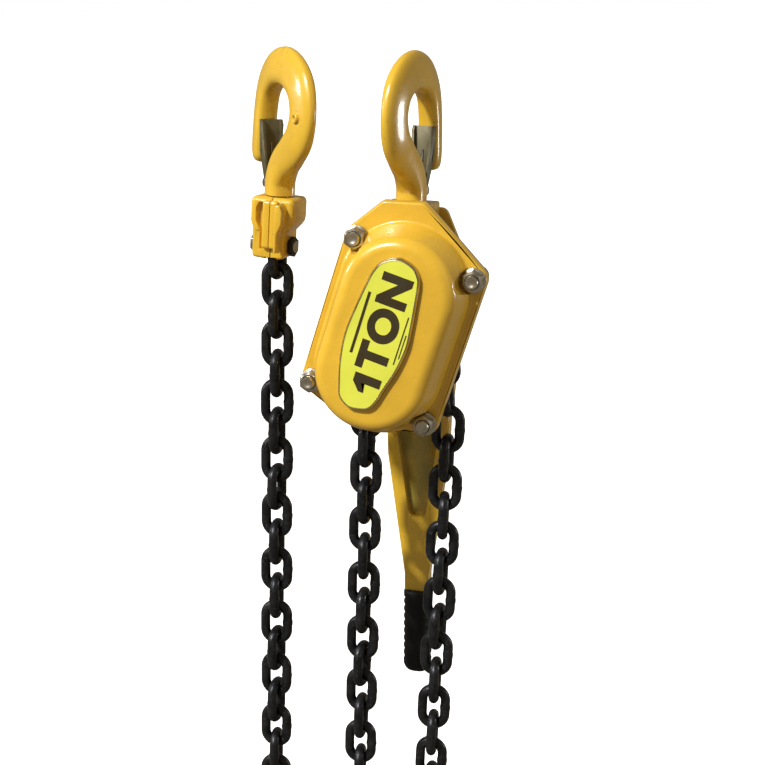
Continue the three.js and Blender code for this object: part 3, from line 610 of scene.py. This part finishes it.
def inset(loop, distance):
    nxt, prv = np.roll(loop, -1, 0), np.roll(loop, 1, 0)
    tangent = nxt - prv
    tangent /= np.linalg.norm(tangent, axis=1)[:, None]
    normal = np.stack([-tangent[:, 1], tangent[:, 0]], 1)
    area = np.sum(loop[:, 0] * nxt[:, 1] - nxt[:, 0] * loop[:, 1])
    return loop + normal * distance * (1 if area > 0 else -1)


def on_plate(loop, y):
    c, s = math.cos(PLATE_TILT), math.sin(PLATE_TILT)
    return [(PLATE_AT[0] + a * c + b * s, y, PLATE_AT[1] - a * s + b * c) for a, b in loop]


def nameplate():
    loop = smooth_loop(PLATE)
    border = loft("nameplate_border", [
        on_plate(inset(loop, 0.2), -50.05), on_plate(loop, -50.3), on_plate(inset(loop, 0.1), -51.4),
        on_plate(inset(loop, 0.35), -52.2), on_plate(inset(loop, 0.9), -53.1),
        on_plate(inset(loop, 1.3), -53.25), on_plate(inset(loop, 1.5), -52.95),
        on_plate(inset(loop, 2.0), -52.85),
    ])
    dress(border, SILVER, "frame", ["nameplate"], slot="zinc_plate", crease=24)
    face = loft("nameplate_face", [on_plate(inset(loop, 1.5), -52.8), on_plate(inset(loop, 1.6), -53.0)])
    dress(face, LIME, "frame", slot="label_lime")


nameplate()


def plate_matrix(across, along, y=-53.02):
    """Places flat work on the nameplate, reading along it from low to high."""
    at = on_plate([(across, along)], y)[0]
    a = math.pi / 2 - PLATE_TILT
    right = Vector((math.cos(a), 0, math.sin(a)))
    up = Vector((-math.sin(a), 0, math.cos(a)))
    out = Vector((0, -1, 0))
    return Matrix.Translation(Vector(at) * MM) @ Matrix((right, up, out)).transposed().to_4x4()


def lettering(name, words, size, across, along, stretch=1.0, heavy=0.0, spacing=1.0):
    curve = bpy.data.curves.new(name, "FONT")
    curve.body, curve.size = words, size * MM
    curve.extrude, curve.offset = 0.00006, heavy * MM
    curve.align_x, curve.align_y = "CENTER", "CENTER"
    curve.space_character = spacing
    source = bpy.data.objects.new(name + "_curve", curve)
    bpy.context.scene.collection.objects.link(source)
    graph = bpy.context.evaluated_depsgraph_get()
    graph.update()
    mesh = bpy.data.meshes.new_from_object(source.evaluated_get(graph))
    bpy.data.objects.remove(source)
    mesh.transform(plate_matrix(across, along) @ Matrix.Diagonal((stretch, 1, 1, 1)))
    dress(link(name, mesh), PRINT, "frame", slot="rubber_black")


def bar(name, corners):
    piece = loft(name, [on_plate(corners, -52.9), on_plate(corners, -53.12)])
    dress(piece, PRINT, "frame", slot="rubber_black")


def upright(across0, across1, along0, along1):
    return [(across0, along0), (across1, along0), (across1, along1), (across0, along1)]


lettering("plate_lettering", "TON", 22, 2.6, 8.4, stretch=1.08, heavy=1.25, spacing=1.12)
bar("plate_figure_one", [
    (-5.2, -28.4), (-0.6, -33.6), (2.4, -33.6), (-0.4, -28.4), (10.4, -28.4), (10.4, -23.2), (-5.2, -23.2),
])
bar("plate_bar_long", upright(-11.8, -10.2, -14, 22))
bar("plate_bar_thin", upright(13.2, 13.9, -12, 16))
bar("plate_bar_short", upright(15.0, 15.6, -8, 6))


# ------------------------------------------------------------------ hooks
# [u, z, width, thickness, thickness of the outer edge as a share of the inner edge]
STATIONS = np.array([
    (0, -62, 16.4, 16.4, 1), (0, -54, 16.6, 16.4, 1), (-5.5, -44, 18.5, 16.6, 0.85),
    (-16.5, -35, 20, 16.6, 0.6), (-25.5, -25.5, 20.5, 16.4, 0.52), (-28.8, -13, 20.5, 16.2, 0.42),
    (-24.5, 0, 21, 16.2, 0.5), (-13.5, 8.2, 21.5, 16.2, 0.5), (0, 10.9, 21.6, 16, 0.42),
    (13.5, 7.6, 20.5, 15.6, 0.5), (22.8, -1.6, 18.5, 15.2, 0.5), (26, -14, 16, 14.8, 0.6),
    (26.6, -28, 14.6, 14.6, 0.7), (26.2, -39, 13, 14.2, 0.8), (25.6, -46.5, 10.5, 12, 0.85),
], float)


def circle(radius, z, sides):
    return [(radius * math.cos(TAU * k / sides), radius * math.sin(TAU * k / sides), z) for k in range(sides)]


def spline(points, t):
    """Centripetal Catmull-Rom through rows of points, t from 0 to 1."""
    count = len(points)
    at = t * (count - 1)
    i = min(count - 2, int(at))
    w = at - i
    p1, p2 = points[i], points[i + 1]
    p0 = points[i - 1] if i > 0 else 2 * p1 - p2
    p3 = points[i + 2] if i + 2 < count else 2 * p2 - p1
    d0 = max(1e-4, math.sqrt(np.linalg.norm((p1 - p0)[:2])))
    d1 = max(1e-4, math.sqrt(np.linalg.norm((p2 - p1)[:2])))
    d2 = max(1e-4, math.sqrt(np.linalg.norm((p3 - p2)[:2])))
    m1 = ((p1 - p0) / d0 - (p2 - p0) / (d0 + d1) + (p2 - p1) / d1) * d1
    m2 = ((p2 - p1) / d1 - (p3 - p1) / (d1 + d2) + (p3 - p2) / d2) * d1
    return ((2 * w ** 3 - 3 * w * w + 1) * p1 + (w ** 3 - 2 * w * w + w) * m1
            + (3 * w * w - 2 * w ** 3) * p2 + (w ** 3 - w * w) * m2)


def hook(prefix, shank_end, flange):
    steps, sides, point_round = 150, 40, 4
    rings = []
    for i in range(steps + 1):
        t = i / steps
        here = spline(STATIONS, t)
        ahead = spline(STATIONS, min(1, t + 0.002)) - spline(STATIONS, max(0, t - 0.002))
        along = ahead[:2] / np.linalg.norm(ahead[:2])
        width, thick = here[2] / 2, here[3] / 2
        to_point = (1 - t) * (len(STATIONS) - 1) * 7.2
        if to_point < point_round:
            cap = math.sqrt(max(0.0, 1 - (1 - to_point / point_round) ** 2))
            width, thick = width * (0.4 + 0.6 * cap), thick * (0.4 + 0.6 * cap)
        ring = []
        for k in range(sides):
            a = TAU * k / sides
            c, s = math.cos(a), math.sin(a)
            c, s = math.copysign(abs(c) ** 0.72, c), math.copysign(abs(s) ** 0.72, s)
            side = s * thick * (here[4] + (1 - here[4]) * (1 + c) / 2)
            ring.append((side, here[0] + c * width * along[1], here[1] - c * width * along[0]))
        rings.append(ring)
    shank = [circle(7.6, -62.0, sides), circle(5.8, -62.5, sides), circle(5.8, shank_end, sides)]
    first = rings[0]
    turn = min(range(sides), key=lambda k: np.linalg.norm(np.subtract(shank[0][k][:2], first[0][:2])))
    flip = np.dot(np.subtract(first[1][:2], first[0][:2]),
                  np.subtract(shank[0][(turn + 1) % sides][:2], shank[0][turn][:2])) < 0
    order = [(turn + (-k if flip else k)) % sides for k in range(sides)]
    shank = [[ring[k] for k in order] for ring in shank]
    piece = loft(prefix + "_hook_forging", shank[::-1] + rings)
    # the lug that carries the latch
    reach = LATCH_PIVOT[0] + 2.6
    lug = [(-59.4, 5.0), (-53.6, 5.0), (-53.6, reach - 1.6), (-55.2, reach), (-57.8, reach),
           (-59.4, reach - 1.6)]
    points = [(-2.1, u, z) for z, u in lug] + [(2.1, u, z) for z, u in lug]
    n = len(lug)
    faces = [(k, (k + 1) % n, (k + 1) % n + n, k + n) for k in range(n)]
    faces += [tuple(range(n)), tuple(range(2 * n - 1, n - 1, -1))]
    tools = [from_lists("lug", points, faces)]
    if flange:
        tools.append(lathe("flange", bore(8.4, *flange), (0, 0, 0), "z", 48))
    join(piece, tools)
    piece.data.transform(turned(prefix, SWIVELS[prefix]))
    return dress(piece, YELLOW, BODY_OF[prefix + "_hook"], [prefix + "_hook"], crease=46)


def forging_mark():
    """A small raised ring on the broad side of the load hook."""
    ring = lathe("bottom_hook_forging_mark", [(1.5, -4.5), (1.5, -6.6), (1.9, -7.1), (2.4, -7.1), (2.8, -6.6),
                                              (2.8, -4.5), (1.5, -4.5)], (0, -29.0, -15.5), "x", 32)
    ring.data.transform(turned("bottom", SWIVELS["bottom"]))
    dress(ring, YELLOW, BODY_OF["bottom_hook"], slot="yellow_enamel", crease=60)


forging_mark()
hook("top", -80.5, None)
hook("bottom", -77, (-76.5, -70.5))


def tube(name, path, radius, sides=10):
    """A wire along a path of points."""
    path = [np.array(p, float) for p in path]
    turns = [TAU * k / sides for k in range(sides)]
    rings, across = [], None
    for i, p in enumerate(path):
        way = path[min(len(path) - 1, i + 1)] - path[max(0, i - 1)]
        way /= np.linalg.norm(way)
        if across is None:
            across = np.cross(way, (0, 0, 1) if abs(way[2]) < 0.9 else (1, 0, 0))
        across = across - way * np.dot(across, way)
        across /= np.linalg.norm(across)
        other = np.cross(way, across)
        rings.append([tuple(p + radius * (math.cos(a) * across + math.sin(a) * other)) for a in turns])
    return loft(name, rings)


def latch_spring(prefix):
    rows = np.array([
        (-1.2, 8.3, -58.5), (-1.2, 8.4, -55), (-0.8, 9.6, -51.5),
        (0, 12.2, -46), (0, 14.2, -38), (0, 14.9, -33),
    ])
    dense = [tuple(a + (b - a) * k / 6) for a, b in zip(rows, rows[1:]) for k in range(6)]
    wire = tube(prefix + "_latch_spring", dense, 0.5)
    wire.data.transform(turned(prefix, SWIVELS[prefix]))
    dress(wire, STEEL, BODY_OF[prefix + "_hook"], slot="plain_steel", crease=60)


for prefix in SWIVELS:
    latch_spring(prefix)
    refine(prefix + "_latch", 0.35, 2, 30)
    refine(prefix + "_latch_rivet", 0.3, 2, 40)


# ------------------------------------------------------------------ chain
WIRE_R, BEND_R, HALF_STRAIGHT, PITCH = 3.0, 7.1, 4.9, 18.0


def link_shape(steps=44, sides=14):
    """One welded link about its middle: long way along +Z, wide way along +X."""
    length = 4 * HALF_STRAIGHT + TAU * BEND_R
    rings = []
    for i in range(steps):
        s = length * i / steps
        straight, bend = 2 * HALF_STRAIGHT, math.pi * BEND_R
        if s < straight:
            p, way = (BEND_R, -HALF_STRAIGHT + s), (0, 1)
        elif s < straight + bend:
            a = (s - straight) / BEND_R
            p = (BEND_R * math.cos(a), HALF_STRAIGHT + BEND_R * math.sin(a))
            way = (-math.sin(a), math.cos(a))
        elif s < 2 * straight + bend:
            p, way = (-BEND_R, HALF_STRAIGHT - (s - straight - bend)), (0, -1)
        else:
            a = math.pi + (s - 2 * straight - bend) / BEND_R
            p = (BEND_R * math.cos(a), -HALF_STRAIGHT + BEND_R * math.sin(a))
            way = (-math.sin(a), math.cos(a))
        weld = math.exp(-((s - HALF_STRAIGHT) / 1.15) ** 2)
        radius = WIRE_R * (1 + 0.13 * weld)
        out = (way[1], -way[0])
        rings.append([
            (p[0] + radius * math.cos(TAU * k / sides) * out[0], radius * math.sin(TAU * k / sides),
             p[1] + radius * math.cos(TAU * k / sides) * out[1]) for k in range(sides)
        ])
    points = np.array([p for ring in rings for p in ring])
    faces = []
    for i in range(steps):
        for k in range(sides):
            a, b = i * sides + k, i * sides + (k + 1) % sides
            c, d = ((i + 1) % steps) * sides + (k + 1) % sides, ((i + 1) % steps) * sides + k
            faces.append((a, b, c, d))
    return points, faces


LINK_POINTS, LINK_FACES = link_shape()


def chain(name, links, body, node):
    """links is [(middle, way, face_on, twist)] in mm."""
    points, faces = [], []
    for middle, way, face_on, twist in links:
        way = np.array(way) / np.linalg.norm(way)
        side = np.array([way[2], 0, -way[0]])
        if side[0] < 0:
            side = -side
        deep = np.cross(way, side)
        wide = side if face_on else deep
        c, s = math.cos(twist), math.sin(twist)
        wide = c * wide + s * np.cross(way, wide)
        thin = np.cross(way, wide)
        base = len(points)
        placed = (LINK_POINTS[:, :1] * wide + LINK_POINTS[:, 1:2] * thin + LINK_POINTS[:, 2:] * way
                  + np.array(middle))
        points += [tuple(p) for p in placed]
        faces += [tuple(base + v for v in f) for f in LINK_FACES]
    mesh = bpy.data.meshes.new(name)
    mesh.from_pydata([tuple(c * MM for c in p) for p in points], [], faces)
    piece = link(name, mesh)
    return dress(piece, BLACK, body, [node], crease=80)


def march(route):
    """Points PITCH apart, in straight lines, along a dense route of points."""
    route = np.array(route, float)
    marks = [route[0]]
    i = 0
    while i < len(route) - 1:
        here = marks[-1]
        while i < len(route) and np.linalg.norm(route[i] - here) < PITCH:
            i += 1
        if i >= len(route):
            break
        a, b = route[i - 1], route[i]
        low, high = 0.0, 1.0
        for _ in range(30):
            mid = (low + high) / 2
            if np.linalg.norm(a + (b - a) * mid - here) < PITCH:
                low = mid
            else:
                high = mid
        marks.append(a + (b - a) * high)
    return marks


def line(a, b, step=0.6):
    count = max(2, int(math.dist(a, b) / step))
    return [tuple(np.array(a) + (np.array(b) - np.array(a)) * k / count) for k in range(count + 1)]


def arc(cx, cz, r, a0, a1, step=0.6):
    count = max(4, int(abs(a1 - a0) * r / step))
    return [(cx + r * math.cos(a0 + (a1 - a0) * k / count), 0, cz + r * math.sin(a0 + (a1 - a0) * k / count))
            for k in range(count + 1)]


def wave(index, phase):
    return 0.10 * math.sin(index * 0.9 + phase) + 0.05 * math.sin(index * 2.3 + phase * 2)


def make_links(marks, first_face_on, phase):
    made = []
    for k in range(len(marks) - 1):
        a, b = marks[k], marks[k + 1]
        made.append(((a + b) / 2, b - a, (k % 2 == 0) == first_face_on, wave(k, phase)))
    return made


def build_chain():
    half = (LOAD_FALL_X - HOOK_FALL_X) / 2
    middle = (LOAD_FALL_X + HOOK_FALL_X) / 2
    load_mark = LOAD_EXIT_Z - PITCH
    best = None
    for k in range(181):
        low_z = BIGHT_Z - 9 + 0.1 * k
        route = (line((HOOK_FALL_X, 0, -106.2), (HOOK_FALL_X, 0, low_z)) + arc(middle, low_z, half, -math.pi, 0)
                 + line((LOAD_FALL_X, 0, low_z), (LOAD_FALL_X, 0, -150)))
        marks = march(route)
        rising = [(i, m) for i, m in enumerate(marks) if m[0] > LOAD_FALL_X - 0.5 and m[2] < -200]
        i, m = min(rising, key=lambda im: abs(im[1][2] - load_mark))
        error = abs(m[2] - load_mark)
        odd = (i - 1) % 2 == 0
        if odd and (best is None or error < best[0]):
            best = (error, marks, low_z)
    marks, low_z = best[1:]
    loop = [(marks[0] + np.array([0, 0, PITCH]))] + marks
    links = make_links(loop, False, 0.4)
    hook_side, bend, load_side, rising = [], [], [], []
    for item in links:
        x, z = item[0][0], item[0][2]
        if z < low_z:
            bend.append(item)
        elif x < middle:
            hook_side.append(item)
        elif z < LOAD_EXIT_Z + 3:
            load_side.append(item)
        else:
            rising.append(item)
    chain("hook_fall_links", hook_side, "load_chain", "hook_chain_fall")
    chain("bight_links", bend, "load_chain", "chain_bight")
    chain("load_fall_links", load_side, "load_chain", "load_chain_fall")
    last = load_side[-1]
    start = np.array(last[0]) + np.array([0, 0, PITCH / 2])
    tail_top = (tail_x(TAIL_START_Z), 0, TAIL_START_Z)
    best = None
    for k in range(61):
        r = 21.6 + 0.03 * k
        route = (line(tuple(start), (SHAFT[0] - r, 0, SHAFT[1])) + arc(SHAFT[0], SHAFT[1], r, math.pi, 0)
                 + line((SHAFT[0] + r, 0, SHAFT[1]), tail_top) + line(tail_top, (tail_x(-240), 0, -240)))
        inner = march(route)
        falling = [(i, m) for i, m in enumerate(inner) if m[0] > 15 and m[2] < -170]
        i, m = min(falling, key=lambda im: abs(im[1][2] - TAIL_START_Z))
        if best is None or abs(m[2] - TAIL_START_Z) < best[0]:
            best = (abs(m[2] - TAIL_START_Z), inner[:i + 1])
    inside = make_links(best[1], not last[2], 1.0)
    chain("case_links", inside, "frame", "chain_in_case")
    heights = [TAIL_START_Z - TAIL_PITCH * k for k in range(TAIL_MARKS)]
    marks = [np.array([tail_x(z), 0, z]) for z in heights]
    falling = make_links(marks, True, 2.2)
    upper = [item for item in falling if item[0][2] > TAIL_JOINT_Z]
    lower = [item for item in falling if item[0][2] <= TAIL_JOINT_Z]
    chain("tail_upper_links", upper, "tail_upper", "tail_chain_upper")
    chain("tail_lower_links", lower, "tail_lower", "tail_chain_lower")


build_chain()

# ------------------------------------------------------------------ bottom yoke
def yoke_half(node, hand, leg):
    """One forged half: a full shoulder round the hook's flange, a leg, and a rib at each end of the joint."""

    def block(name, corners, y0, y1, ease):
        outline = corners if hand > 0 else [(-x, z) for x, z in corners[::-1]]
        return bevel(prism(name, outline, y0, y1), ease, 5, 20)

    shoulder = block("shoulder", [(-4, -62.7), (13.3, -62.7), (13.4, -77), (leg - 1, -84), (-4, -84)],
                     -11.6, 11.6, 2.9)
    lower = block("leg", [(-4, -74), (leg, -74), (leg - 0.3, -98.2), (-4, -99)], -11, 11, 1.9)
    ribs = [block("rib", [(-4, -64.2), (4.9, -64.2), (4.9, -92.2), (-4, -92.2)], y0, y1, 1.9)
            for y0, y1 in ((-14.4, -8), (8, 14.4))]
    piece = join(shoulder, [lower] + ribs)
    recess = [(5.1, -65.5), (5.1, -93), (6.9, -93), (7.0, -82), (9.6, -76), (9.6, -69), (8.0, -65.5)]
    tools = [
        lathe("shank_bore", bore(6.1, -95, -50), (0, 0, 0), "z", 48),
        lathe("flange_well", bore(8.9, -77.5, -69.5), (0, 0, 0), "z", 48),
        lathe("bolt_hole", bore(3.9, -30, 30), (0, 0, YOKE_BOLT_Z), "x", 40),
        prism("slot", [(-3.7, -110), (3.7, -110), (3.7, -79.5), (-3.7, -79.5)], -10.9, 10.9),
        bevel(prism("recess", [(hand * a, z) for a, z in recess], -20, -8.2), 0.8),
        prism("joint", [(-hand * 20, -120), (hand * 0.3, -120), (hand * 0.3, -40), (-hand * 20, -40)], -30, 30),
    ]
    cut(piece, tools)
    bevel(piece, 0.5, 3, 45)
    piece.data.transform(turned("bottom", YOKE_TURN))
    dress(piece, YELLOW, BODY_OF[node], [node], crease=50)


yoke_half("bottom_yoke_left", -1, 12)
yoke_half("bottom_yoke_right", 1, 8)

# ------------------------------------------------------------------ lever
def lever_arm():
    def slab(name, discs, y0, y1, step):
        """A flat piece round discs (across, down, r) on the lever."""
        return prism(name, round_outline([(*on_lever(a, down), r) for a, down, r in discs], step), y0, y1)

    head = slab("lever_blade", [(0, 0, 27), (-15, 74, 4), (15, 74, 4)], 36.3, 50, 5)
    blade = slab("blade", [(-16, 60, 4), (-13, 92, 6), (-3.8, 172, 4), (3.8, 172, 4), (13, 92, 6), (16, 60, 4)],
                 39.7, 49.2, 6)
    neck = slab("neck", [(-3.8, 130, 4), (-3.8, 182, 4), (3.8, 182, 4), (3.8, 130, 4)], 39.7, 49.2, 8)
    tang = slab("tang", [(-2.5, 150, 3), (-2.5, 230, 3), (2.5, 230, 3), (2.5, 150, 3)], 41.2, 47.7, 15)
    join(head, [blade, neck, tang])
    cut(head, [
        slab("pocket", [(-9, 66, 6), (0, 128, 6), (9, 66, 6)], 30, POCKET_FLOOR, 6),
        slab("well", [(0, 0, 17.5), (0, 31, 9.5)], 39, 60, 6),
        slab("well_side", [(-16.5, 14, 3), (-9.5, 37, 3.5), (9.5, 37, 3.5), (16.5, 14, 3)], 39, 60, 10),
        lathe("bore", bore(10, 30, 45), (SHAFT[0], 0, SHAFT[1])),
    ])
    bevel(head, 1.3, 4, 40)
    dress(head, LEVER_PAINT, "lever", ["lever_arm"], crease=40)


lever_arm()


def grip():
    steps, sides, rings = 90, 48, []
    mid_y, top, end = 44.45, 183.4, 240
    for i in range(steps + 1):
        t = i / steps
        down = top + t * (end - top)
        cx, cz = on_lever(0, down)
        rib = 0.5 + 0.5 * math.cos(TAU * 10 * (t - 0.06) / 0.9)
        size = 1.0
        if t < 0.03:
            size = 0.9 + 0.1 * math.sin(t / 0.03 * math.pi / 2)
        if t > 0.88:
            size = math.sqrt(max(0.0, 1 - ((t - 0.88) / 0.12) ** 2)) * 0.55 + 0.45
        ring = []
        for k in range(sides):
            a = TAU * k / sides
            c, s = math.cos(a), math.sin(a)
            across = math.copysign(abs(c) ** 0.72, c) * 8.9
            deep = math.copysign(abs(s) ** 0.78, s) * 9.0
            groove = 0.75 * (1 - rib) * max(0.0, abs(c) - 0.35) / 0.65 if 0.08 < t < 0.9 else 0
            across -= math.copysign(groove, c)
            ring.append((cx + across * size, mid_y + deep * size, cz))
        rings.append(ring)
    dress(loft("lever_grip_sleeve", rings), RUBBER, "lever", ["lever_grip"], crease=60)


grip()

# ------------------------------------------------------------------ the other pieces
SOFT_EDGES = {
    "top_yoke": 1.4, "brake_cover": 0.9, "hand_wheel": 1.0,
    "lever_head_cover": 0.7, "selector_knob": 0.9, "castle_nut": 0.6, "yoke_nut": 0.5, "yoke_bolt": 0.4,
    "stop_ring": 0.0, "lever_side_plate": 0.5, "gear_side_plate": 0.4,
}
for node in frame["nodes"]:
    done = any(node in list(o.get("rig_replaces", [])) for o in bpy.data.objects)
    if not done:
        width = SOFT_EDGES.get(node, 0.3)
        if width:
            refine(node, width, 3 if width > 0.8 else 2)
        else:
            refine(node, 0.05, 1, 60, crease=60)


# ------------------------------------------------------------------ floor and light
def floor():
    mesh = bpy.data.meshes.new("floor")
    reach, low = 60.0, FLOOR_Z * MM
    mesh.from_pydata([(-reach, -reach, low), (reach, -reach, low), (reach, reach, low), (-reach, reach, low)],
                     [], [(0, 1, 2, 3)])
    piece = link("floor", mesh)
    n = Nodes(new_material("pale_floor"))
    n.set(Base_Color=(0.93, 0.93, 0.93, 1), Roughness=0.9)
    n.set(Emission_Color=(1, 1, 1, 1), Emission_Strength=0.6)
    mesh.materials.append(n.material)
    piece.visible_diffuse = False
    piece.visible_glossy = False


floor()


def sun(name, azimuth, elevation, strength, angle):
    data = bpy.data.lights.new(name, "SUN")
    data.energy, data.angle = strength, angle * DEG
    lamp = bpy.data.objects.new(name, data)
    a, e = azimuth * DEG, elevation * DEG
    towards = Vector((math.sin(a) * math.cos(e), -math.cos(a) * math.cos(e), math.sin(e)))
    lamp.rotation_mode = "QUATERNION"
    lamp.rotation_quaternion = towards.to_track_quat("Z", "Y")
    bpy.context.scene.collection.objects.link(lamp)


def softbox(name, place, aim, size, power):
    data = bpy.data.lights.new(name, "AREA")
    data.shape, data.size, data.size_y, data.energy = "RECTANGLE", size[0], size[1], power
    lamp = bpy.data.objects.new(name, data)
    lamp.location = place
    lamp.visible_camera = False
    lamp.rotation_mode = "QUATERNION"
    lamp.rotation_quaternion = (Vector(place) - Vector(aim)).to_track_quat("Z", "Y")
    bpy.context.scene.collection.objects.link(lamp)


sun("key", -32, 42, 3.4, 5)
softbox("softbox_left", (-0.9, -0.9, 0.7), (0, 0, -0.2), (0.5, 0.5), 4)
softbox("softbox_right", (1.1, -0.5, 0.35), (0, 0, -0.2), (0.25, 0.9), 0.5)
softbox("glint_left", (-1.3, -0.2, 0.2), (-0.08, 0, -0.02), (0.22, 0.22), 3.5)
softbox("glint_right", (1.0, 0.5, -0.11), (0, 0, -0.02), (0.2, 0.2), 2.5)


def studio():
    """White to look at, and a dim even light on everything."""
    world = bpy.data.worlds.new("studio")
    world.use_nodes = True
    tree = world.node_tree
    light = tree.nodes["Background"]
    light.inputs["Color"].default_value = (1, 0.88, 0.68, 1)
    light.inputs["Strength"].default_value = 0.24
    seen = tree.nodes.new("ShaderNodeBackground")
    seen.inputs["Color"].default_value = (1, 1, 1, 1)
    seen.inputs["Strength"].default_value = 1.0
    path = tree.nodes.new("ShaderNodeLightPath")
    choice = tree.nodes.new("ShaderNodeMixShader")
    tree.links.new(path.outputs["Is Camera Ray"], choice.inputs[0])
    tree.links.new(light.outputs[0], choice.inputs[1])
    tree.links.new(seen.outputs[0], choice.inputs[2])
    tree.links.new(choice.outputs[0], tree.nodes["World Output"].inputs["Surface"])
    bpy.context.scene.world = world


studio()
bpy.context.scene.view_settings.view_transform = "Standard"

# ------------------------------------------------------------------ final update of the scene
bpy.context.view_layer.update()
